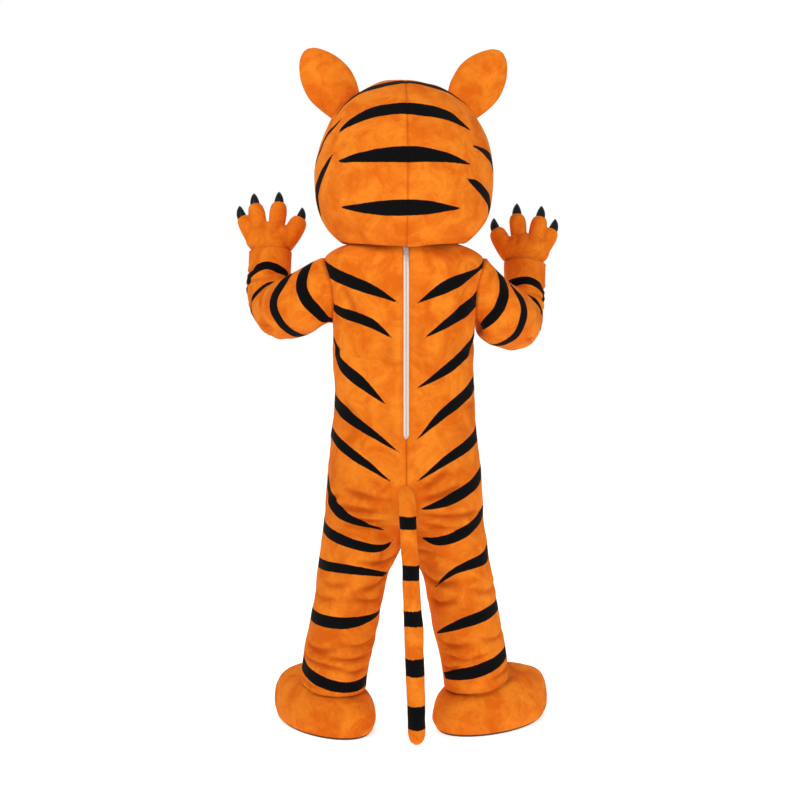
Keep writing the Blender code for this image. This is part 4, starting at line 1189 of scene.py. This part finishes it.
# gloves
hand = {
    "flat": (0.42, 0.44), "area": 0.088, "wall": 0.0045,
    "palmCentre": 0.047, "palm": (0.075, 0.046, 0.053), "cuffRadius": 0.057, "cuffLength": 0.055,
    "roll": {1: math.radians(4), -1: math.radians(6)}, "lean": math.radians(14),
    "cuffProfile": [(0.0, 1.0), (0.45, 1.0), (0.65, 0.93), (0.82, 0.78), (1.0, 0.50)],
    "fingerProfile": [(0.0, 0.80), (0.35, 0.96), (0.72, 1.0), (0.92, 0.86), (1.0, 0.62)],
    "clawProfile": [(0.0, 1.0), (0.35, 0.90), (0.70, 0.60), (0.92, 0.26), (1.0, 0.05)],
    "clawRadius": 0.0152, "clawLength": 0.040, "clawUpright": 0.6, "clawBend": 0.006,
    "voxel": 0.003, "smoothing": 6, "cuffSpare": 0.012,
    # stitching that draws the back of the hand in: across, low, high
    "tufts": [(0.036, 0.040, 0.075), (0.002, 0.060, 0.085), (-0.036, 0.040, 0.070)],
    "tuftDepth": 0.0035, "tuftWidth": 0.006, "tuftTail": 0.02, "wristDepth": 0.0030,
    # root across, root along, tip across, tip along, radius
    "fingers": [
        (0.040, 0.024, 0.081, 0.122, 0.0250), (0.026, 0.062, 0.038, 0.160, 0.0265),
        (-0.022, 0.062, -0.037, 0.160, 0.0265), (-0.046, 0.012, -0.101, 0.104, 0.0280),
    ],
}


def handFrame(side):
    wrist = Vector(sleeve[side][-1][:3]) - Vector((0, 0, neckHeight))
    lean = Matrix.Rotation(hand["lean"], 4, "X")
    roll = Matrix.Rotation(side * hand["roll"][side], 4, "Y")
    return Matrix.Translation(wrist) @ lean @ roll @ Matrix.Diagonal((side, 1, 1, 1))


def placed(points, matrix):
    m = np.array(matrix)
    return points @ m[:3, :3].T + m[:3, 3]


def profiled(start, end, radius, profile, count, steps):
    axis = end - start
    angles = 2 * np.pi * np.arange(count) / count
    return np.array([
        ringAbout(
            start + axis * t, axis, np.array([0.0, -1.0, 0.0]), radius * float(tableCurve(profile, 1, t)),
            angles,
        )
        for t in steps
    ])


def handPart(bm, rings):
    layers = [[bm.verts.new(p) for p in ring] for ring in rings]
    for low, high in zip(layers, layers[1:]):
        for c in range(len(low)):
            d = (c + 1) % len(low)
            bm.faces.new((low[c], low[d], high[d], high[c]))
    bm.faces.new(layers[0])
    bm.faces.new(layers[-1])


def remeshed(obj, voxel, smoothing):
    modifier = obj.modifiers.new("Remesh", "REMESH")
    modifier.mode = "VOXEL"
    modifier.voxel_size = voxel
    modifier = obj.modifiers.new("Smooth", "SMOOTH")
    modifier.factor = 0.5
    modifier.iterations = smoothing
    mesh = evaluatedMesh(obj)
    bpy.data.objects.remove(obj)
    return mesh


def knuckleDip(x, z):
    dip = 0.0
    for across, low, high in hand["tufts"]:
        top = high + hand["tuftTail"]
        if low < z < top:
            beside = math.exp(-(((x - across) / hand["tuftWidth"]) ** 2))
            dip += hand["tuftDepth"] * beside * math.sin(math.pi * (z - low) / (top - low))
    return dip


def makeGlove(side):
    place = handFrame(side)
    bm = bmesh.new()
    size = Matrix.Diagonal((*hand["palm"], 1))
    bmesh.ops.create_uvsphere(
        bm, u_segments=40, v_segments=28, radius=1,
        matrix=Matrix.Translation((0, 0, hand["palmCentre"])) @ size,
    )
    start, end = np.array([
        0, 0, -hand["cuffLength"] - hand["cuffSpare"],
    ]), np.array([0, 0, hand["palmCentre"]])
    handPart(bm, profiled(start, end, hand["cuffRadius"], hand["cuffProfile"], 40, np.linspace(0, 1, 16)))
    for rootAcross, rootAlong, tipAcross, tipAlong, radius in hand["fingers"]:
        start, end = np.array([rootAcross, 0, rootAlong]), np.array([tipAcross, 0, tipAlong])
        handPart(bm, profiled(start, end, radius, hand["fingerProfile"], 28, np.linspace(0, 1, 20)))
    bmesh.ops.recalc_face_normals(bm, faces=bm.faces)
    rough = bpy.data.meshes.new("hand")
    bm.to_mesh(rough)
    bm.free()
    obj = linked("hand", rough)
    mesh = remeshed(obj, hand["voxel"], hand["smoothing"])

    bm = bmesh.new()
    bm.from_mesh(mesh)
    bmesh.ops.delete(bm, geom=[v for v in bm.verts if v.co.z < -hand["cuffLength"]], context="VERTS")
    bm.normal_update()
    moved = []
    for v in bm.verts:
        x, y, z = v.co
        dip = seam["dip"] * math.exp(-((y / 0.0028) ** 2)) * (1 - abs(v.normal.y))
        knuckle = knuckleDip(x, z) if y > 0 else 0.0
        wrist = hand["wristDepth"] * math.exp(-(((z - 0.004 - 0.010 * math.cos(x / 0.03)) / 0.006) ** 2))
        moved.append(v.co - v.normal * (dip + knuckle + wrist))
    for v, p in zip(bm.verts, moved):
        v.co = p
    bm.to_mesh(mesh)
    bm.free()
    mesh.transform(place)
    if place.determinant() < 0:
        mesh.flip_normals()
    count = len(mesh.vertices)
    points = np.empty(count * 3)
    mesh.vertices.foreach_get("co", points)
    normals = np.empty(count * 3)
    mesh.vertices.foreach_get("normal", normals)
    points, normals = points.reshape(-1, 3), normals.reshape(-1, 3)
    points = points + normals * (0.6 * softWaves(points))[:, None]
    mesh.vertices.foreach_set("co", points.ravel())
    layer = mesh.attributes.new("stripe", "FLOAT", "POINT")
    layer.data.foreach_set("value", np.full(count, farFromStripe, np.float32))
    mesh.materials.clear()
    mesh.materials.append(orangePlush)
    mesh.shade_smooth()
    made = linked(f"glove{turned[side].title()}", mesh)
    solid = made.modifiers.new("Wall", "SOLIDIFY")
    solid.thickness = hand["wall"]
    solid.offset = -1
    thick = evaluatedMesh(made)
    made.modifiers.clear()
    made.data = thick
    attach(made, body)
    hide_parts(f"glove_{turned[side]}_back", f"glove_{turned[side]}_palm")

    for number, (rootAcross, rootAlong, tipAcross, tipAlong, radius) in enumerate(hand["fingers"], 1):
        start, end = np.array([rootAcross, 0, rootAlong]), np.array([tipAcross, 0, tipAlong])
        axis = unit(end - start)
        angles = 2 * np.pi * np.arange(24) / 24
        rings = []
        for t in np.linspace(0, 1, 20):
            bend = np.array([0, -hand["clawBend"], 0]) * t**2
            way = unit(mixed(axis, np.array([0.0, 0.0, 1.0]), hand["clawUpright"] * t))
            middle = end - axis * 0.002 * (1 - t) + way * hand["clawLength"] * t + bend
            radiusHere = hand["clawRadius"] * float(tableCurve(hand["clawProfile"], 1, t))
            rings.append(ringAbout(middle, axis, np.array([0.0, -1.0, 0.0]), radiusHere, angles))
        claw = tube(
            f"claw{turned[side].title()}{number}", placed(np.array(rings), place), clawVinyl,
        )
        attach(claw, body)
        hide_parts(f"claw_{turned[side]}_{number}")


for side in (1, -1):
    makeGlove(side)
print("gloves made")


# boots
boot = {
    "ankleX": {1: 0.206, -1: 0.218}, "sole": 0.008, "facingRows": 30,
    # height, forward, half length, half width, rise, wall
    "rows": [
        (0.0084, 0.052, 0.190, 0.113, 0.000, 0.014), (0.0400, 0.056, 0.200, 0.122, 0.000, 0.014),
        (0.0780, 0.059, 0.197, 0.121, 0.006, 0.014), (0.1120, 0.057, 0.177, 0.111, 0.014, 0.013),
        (0.1290, 0.042, 0.136, 0.096, 0.020, 0.011), (0.1330, 0.004, 0.086, 0.084, 0.012, 0.007),
        (0.1520, 0.000, 0.080, 0.080, 0.004, 0.004), (0.1900, 0.000, 0.079, 0.079, 0.000, 0.004),
    ],
}


def bootRing(side, step, angles, shrink=0.0, level=None):
    table = numbered(boot["rows"])
    height, forward, halfLength, halfWidth, rise = (tableCurve(table, c, step) for c in (1, 2, 3, 4, 5))
    way = np.array([side * math.sin(suit["toeOut"][side]), -math.cos(suit["toeOut"][side]), 0])
    across = np.array([-way[1], way[0], 0])
    along = forward + (halfLength - shrink) * np.cos(angles)
    aside = (halfWidth - shrink) * np.sin(angles)
    up = height + rise * np.cos(angles) if level is None else level + 0 * angles
    ankle = np.array([side * boot["ankleX"][side], 0, -neckHeight])
    return ankle + way * along[..., None] + across * aside[..., None] + np.array([0, 0, 1]) * up[..., None]


def makeBoot(side):
    for half, low, high in (("outer", math.pi, 2 * math.pi), ("inner", 0.0, math.pi)):
        angles = low + (high - low) * spread(72)
        steps = (len(boot["rows"]) - 1) * np.concatenate([
            np.linspace(0, 0.1, 5)[:-1], np.linspace(0.1, 1, 62),
        ])
        grid = np.array([bootRing(side, np.full_like(angles, s), angles) for s in steps])
        thickness = tableCurve(numbered(boot["rows"]), 6, steps)[:, None, None]
        out = grid - np.array([side * boot["ankleX"][side], 0, 0])
        out[..., 2] = 0
        out[boot["facingRows"]:] = 0
        normals = facingOut(gridNormals(grid), out)
        lift = 1.3 * softWaves(grid) * np.clip(steps / 0.6, 0, 1)[:, None] - seamDip(
            grid, rows=(False, False),
        )
        outer = grid + normals * lift[..., None]
        flatNormals = normals.copy()
        flatNormals[0, :, 2] = 0
        inner = outer - unit(flatNormals) * thickness
        floor = boot["rows"][0][0] - neckHeight
        outer[0, :, 2] = inner[0, :, 2] = floor
        inner[..., 2] = np.maximum(inner[..., 2], floor)
        label = half if side > 0 else {"outer": "inner", "inner": "outer"}[half]
        made = wall(
            f"boot{turned[side].title()}{label.title()}", outer, inner, orangePlush, field=plain(grid),
            slot="orange_plush",
        )
        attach(made, body)
        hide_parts(f"boot_{turned[side]}_{label}")
    angles = 2 * np.pi * np.arange(96) / 96
    rings = []
    for level, shrink in (
        (0.0, 0.012), (0.0006, 0.008), (0.003, 0.005), (0.0062, 0.0045), (boot["sole"], 0.006),
    ):
        rings.append(bootRing(side, np.zeros_like(angles), angles, shrink, level))
    sole = tube(f"sole{turned[side].title()}", np.array(rings), soleRubber)
    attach(sole, body)
    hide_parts(f"sole_{turned[side]}")


for side in (1, -1):
    makeBoot(side)
print("boots made")


# tail
tail = {
    # x, behind the back, height, radius
    "rows": [
        (0.000, 0.000, 0.716, 0.021), (0.000, 0.022, 0.706, 0.022), (-0.001, 0.040, 0.678, 0.023),
        (-0.003, 0.047, 0.620, 0.023), (-0.009, 0.050, 0.500, 0.024), (-0.016, 0.050, 0.370, 0.025),
        (-0.021, 0.050, 0.240, 0.026), (-0.025, 0.050, 0.120, 0.027), (-0.027, 0.050, 0.055, 0.027),
        (-0.027, 0.050, 0.030, 0.021), (-0.027, 0.050, 0.019, 0.010),
    ],
    # height and half height of each band
    "bands": [(0.641, 0.018), (0.503, 0.0215), (0.3755, 0.022), (0.2395, 0.025), (0.0977, 0.033)],
}


def makeTail():
    table = numbered(tail["rows"])
    last = len(table) - 1
    steps = np.concatenate([
        np.linspace(0, 3, 34)[:-1], np.linspace(3, 8, 100)[:-1], np.linspace(8, last, 18),
    ])
    behind = float(tableCurve(suit["torso"], 2, tail["rows"][0][2])) + 0.002
    line = np.stack(
        [
            tableCurve(table, 1, steps), behind + tableCurve(table, 2, steps),
            tableCurve(table, 3, steps) - neckHeight,
        ],
        -1,
    )
    axes = unit(np.gradient(line, axis=0))
    angles = 2 * np.pi * np.arange(36) / 36
    rings = []
    for centre, axis, step in zip(line, axes, steps):
        if step == 0:
            axis = unit(np.array([0.0, 1.0, -0.15]))
        rings.append(ringAbout(
            centre, axis, np.array([1.0, 0.0, 0.0]), float(tableCurve(table, 4, step)), angles,
        ))
    rings = np.array(rings)
    backHere = tableCurve(suit["torso"], 2, rings[0, :, 2] + neckHeight)
    rings[0, :, 1] = backHere - 0.001
    normals = facingOut(gridNormals(rings, wrap=True), rings - rings.mean(1, keepdims=True))
    rings = rings + normals * (0.7 * softWaves(rings))[..., None]
    height = rings[..., 2] + neckHeight
    field = plain(rings)
    for middle, half in tail["bands"]:
        field = np.minimum(field, np.abs(height - middle) - half)
    made = tube("tailTube", rings, tailPlush, field=field)
    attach(made, body)
    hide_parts("tail")


makeTail()
print("tail made")


# zip: tapes, coil and topstitching
zipFly = {
    "tapeDepth": -0.0044, "tapeThickness": 0.001, "tapeHalfWidth": 0.015, "coilPitch": 0.0024,
    "coilTooth": (0.0030, 0.0014, 0.0013), "stitchPitch": 0.0042, "stitch": (0.0009, 0.0009, 0.0030),
    "topstitch": 0.016, "top": 1.44, "stitchTop": 1.40, "stitchBelow": 0.016, "backRadius": 0.21,
}


def centreBack(height, depth=0.0, across=0.0):
    height = np.asarray(height, float)
    here = torsoPoint(height, np.zeros_like(height), np.zeros(height.shape, bool))
    above = torsoPoint(height + 0.002, np.zeros_like(height), np.zeros(height.shape, bool))
    up = unit(above - here)
    out = np.stack([np.zeros_like(height), up[..., 2], -up[..., 1]], -1)
    return here + out * depth + np.array([1.0, 0, 0]) * across


zipHeights = np.linspace(suit["zipBottom"] - suit["zipEnd"] + 0.001, zipFly["top"], 140)
for side in (1, -1):
    grids = []
    for depth in (zipFly["tapeDepth"], zipFly["tapeDepth"] - zipFly["tapeThickness"]):
        columns = [centreBack(zipHeights, depth, side * x) for x in np.linspace(
            0.0003, zipFly["tapeHalfWidth"], 5,
        )]
        grids.append(np.stack(columns, 1))
    tape = wall(f"zipTape{turned[side].title()}", *grids, zipTape, slot="zip_tape")
    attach(tape, body)
    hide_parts(f"zip_tape_{turned[side]}")


def repeatTree():
    # lays one small rounded piece again and again along a line
    tree = bpy.data.node_groups.new("repeatAlong", "GeometryNodeTree")
    face = tree.interface
    face.new_socket("Line", in_out="INPUT", socket_type="NodeSocketGeometry")
    face.new_socket("Spacing", in_out="INPUT", socket_type="NodeSocketFloat")
    face.new_socket("Size", in_out="INPUT", socket_type="NodeSocketVector")
    face.new_socket("Finish", in_out="INPUT", socket_type="NodeSocketMaterial")
    face.new_socket("Pieces", in_out="OUTPUT", socket_type="NodeSocketGeometry")
    given, made = tree.nodes.new("NodeGroupInput"), tree.nodes.new("NodeGroupOutput")
    line = tree.nodes.new("GeometryNodeMeshToCurve")
    even = tree.nodes.new("GeometryNodeResampleCurve")
    even.mode = "LENGTH"
    bead = tree.nodes.new("GeometryNodeMeshUVSphere")
    bead.inputs["Segments"].default_value = 8
    bead.inputs["Rings"].default_value = 6
    bead.inputs["Radius"].default_value = 0.5
    way = tree.nodes.new("GeometryNodeInputTangent")
    turn = tree.nodes.new("FunctionNodeAlignRotationToVector")
    turn.axis = "Z"
    turn.pivot_axis = "X"
    lay = tree.nodes.new("GeometryNodeInstanceOnPoints")
    real = tree.nodes.new("GeometryNodeRealizeInstances")
    smooth = tree.nodes.new("GeometryNodeSetShadeSmooth")
    finish = tree.nodes.new("GeometryNodeSetMaterial")
    for a, b in (
        (given.outputs["Line"], line.inputs["Mesh"]), (line.outputs["Curve"], even.inputs["Curve"]),
        (given.outputs["Spacing"], even.inputs["Length"]), (even.outputs["Curve"], lay.inputs["Points"]),
        (bead.outputs["Mesh"], lay.inputs["Instance"]), (way.outputs["Tangent"], turn.inputs["Vector"]),
        (turn.outputs["Rotation"], lay.inputs["Rotation"]), (given.outputs["Size"], lay.inputs["Scale"]),
        (lay.outputs["Instances"], real.inputs["Geometry"]), (
            real.outputs["Geometry"], smooth.inputs["Geometry"],
        ),
        (
            smooth.outputs["Geometry"], finish.inputs["Geometry"],
        ), (given.outputs["Finish"], finish.inputs["Material"]),
        (finish.outputs["Geometry"], made.inputs["Pieces"]),
    ):
        tree.links.new(a, b)
    return tree


repeatGroup = repeatTree()


def laidAlong(name, lines, spacing, size, finish, replaced=()):
    verts, edges = [], []
    for line in lines:
        first = len(verts)
        verts += np.asarray(line).tolist()
        edges += [(i, i + 1) for i in range(first, len(verts) - 1)]
    mesh = bpy.data.meshes.new(name)
    mesh.from_pydata(verts, edges, [])
    obj = linked(name, mesh)
    modifier = obj.modifiers.new("Repeat", "NODES")
    modifier.node_group = repeatGroup
    sockets = {item.name: item.identifier for item in repeatGroup.interface.items_tree if item.in_out == "INPUT"}
    modifier[sockets["Spacing"]] = spacing
    modifier[sockets["Size"]] = size
    modifier[sockets["Finish"]] = finish
    made = evaluatedMesh(obj)
    obj.modifiers.clear()
    obj.data = made
    if not made.materials:
        made.materials.append(finish)
    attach(obj, body)
    for node in replaced:
        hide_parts(node)


def coilLine(across, shift):
    heights = np.linspace(suit["zipBottom"] - 0.004 + shift, zipFly["top"] - 0.004 + shift, 160)
    return centreBack(heights, zipFly["tapeDepth"] + 0.0014, across)


laidAlong(
    "zipCoil", [coilLine(0.0011, 0.0), coilLine(-0.0011, zipFly["coilPitch"] / 2)], zipFly["coilPitch"],
    zipFly["coilTooth"], coilNylon, ["zip_teeth"],
)


def onSuit(points, lift):
    # moves points of the bare form out to where the plush is
    points = np.asarray(points)
    out = unit(points * np.array([1, 1, 0]))
    return points + out * (suitRelief(points) + lift)[:, None]


stitchLines = []
stitchEnd = suit["zipBottom"] - zipFly["stitchBelow"]
heights = np.linspace(stitchEnd, zipFly["stitchTop"], 130)
for across in (zipFly["topstitch"], -zipFly["topstitch"]):
    turn = np.full_like(heights, math.asin(abs(across) / zipFly["backRadius"]))
    line = torsoPoint(heights, turn, np.zeros(turn.shape, bool)) * np.array([np.sign(across), 1, 1])
    stitchLines.append(onSuit(line, 0.0002))
bottom = np.linspace(-zipFly["topstitch"], zipFly["topstitch"], 14)
turn = np.arcsin(np.abs(bottom) / zipFly["backRadius"])
line = torsoPoint(np.full_like(turn, stitchEnd), turn, np.zeros(turn.shape, bool))
line *= np.stack([np.sign(bottom), np.ones(len(bottom)), np.ones(len(bottom))], -1)
stitchLines.append(onSuit(line, 0.0002))
laidAlong("zipTopstitch", stitchLines, zipFly["stitchPitch"], zipFly["stitch"], orangeThread)
print("zip made")

for name in ("zip_slider", "zip_pull"):
    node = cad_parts[name]
    node.data.materials.clear()
    node.data.materials.append(zipMetal)


# camera, floor and light
view = {
    "distance": 3.6658, "yaw": math.radians(2.5), "height": 1.2144, "down": math.radians(1.28), "lens": 56.03,
    "shift": (-0.005, -0.07),
}
cameraData = bpy.data.cameras.new("camera")
cameraData.lens = view["lens"]
cameraData.sensor_width = 36
cameraData.shift_x, cameraData.shift_y = view["shift"]
camera = bpy.data.objects.new("camera", cameraData)
camera.location = (
    view["distance"] * math.sin(view["yaw"]), view["distance"] * math.cos(view["yaw"]),
    view["height"] - neckHeight,
)
camera.rotation_euler = (math.radians(90) - view["down"], 0, math.radians(180) - view["yaw"])
bpy.context.scene.collection.objects.link(camera)
bpy.context.scene.camera = camera


def stageFloor():
    made, tree, shader = newMaterial("floorPaint", 0.9)
    where = objectPlace(tree)
    tree.links.new(
        blended(tree, noiseAt(tree, where, 3.0), (0.90, 0.90, 0.90, 1), (0.92, 0.92, 0.92, 1)),
        shader.inputs["Base Color"],
    )
    setSocket(shader, "Specular IOR Level", 0.0)
    setSocket(shader, "Emission Color", (1, 1, 1, 1))
    seen = addNode(tree, "ShaderNodeLightPath").outputs["Is Camera Ray"]
    tree.links.new(ranged(tree, seen, 0.0, 1.0, 0.42, 0.62), shader.inputs["Emission Strength"])
    mesh = bpy.data.meshes.new("floor")
    z = -neckHeight
    mesh.from_pydata([(-60, -60, z), (60, -60, z), (60, 60, z), (-60, 60, z)], [], [(0, 1, 2, 3)])
    mesh.materials.append(made)
    obj = linked("floor", mesh)


stageFloor()

lights = [
    ("key", (1.6, 2.6, 2.4), 1.4, 52.0), ("fill", (-2.4, 3.0, -0.3), 2.0, 26.0),
    ("front", (0.6, -3.0, 1.8), 2.0, 30.0),
]
for name, place, size, power in lights:
    data = bpy.data.lights.new(name, "AREA")
    data.energy, data.size = power, size
    lamp = bpy.data.objects.new(name, data)
    lamp.location = place
    lamp.rotation_euler = (Vector((0, 0, -0.35)) - Vector(place)).to_track_quat("-Z", "Y").to_euler()
    bpy.context.scene.collection.objects.link(lamp)
world = bpy.data.worlds.new("studio")
bpy.context.scene.world = world
world.use_nodes = True
sky = world.node_tree.nodes["Background"]
sky.inputs["Color"].default_value = (1.0, 1.0, 1.0, 1)
ray = world.node_tree.nodes.new("ShaderNodeLightPath")
seen = world.node_tree.nodes.new("ShaderNodeMapRange")  # the backdrop is brighter than the light it gives
seen.inputs["To Min"].default_value = 0.52
seen.inputs["To Max"].default_value = 1.0
world.node_tree.links.new(ray.outputs["Is Camera Ray"], seen.inputs["Value"])
world.node_tree.links.new(seen.outputs["Result"], sky.inputs["Strength"])
bpy.context.scene.view_settings.view_transform = "Standard"
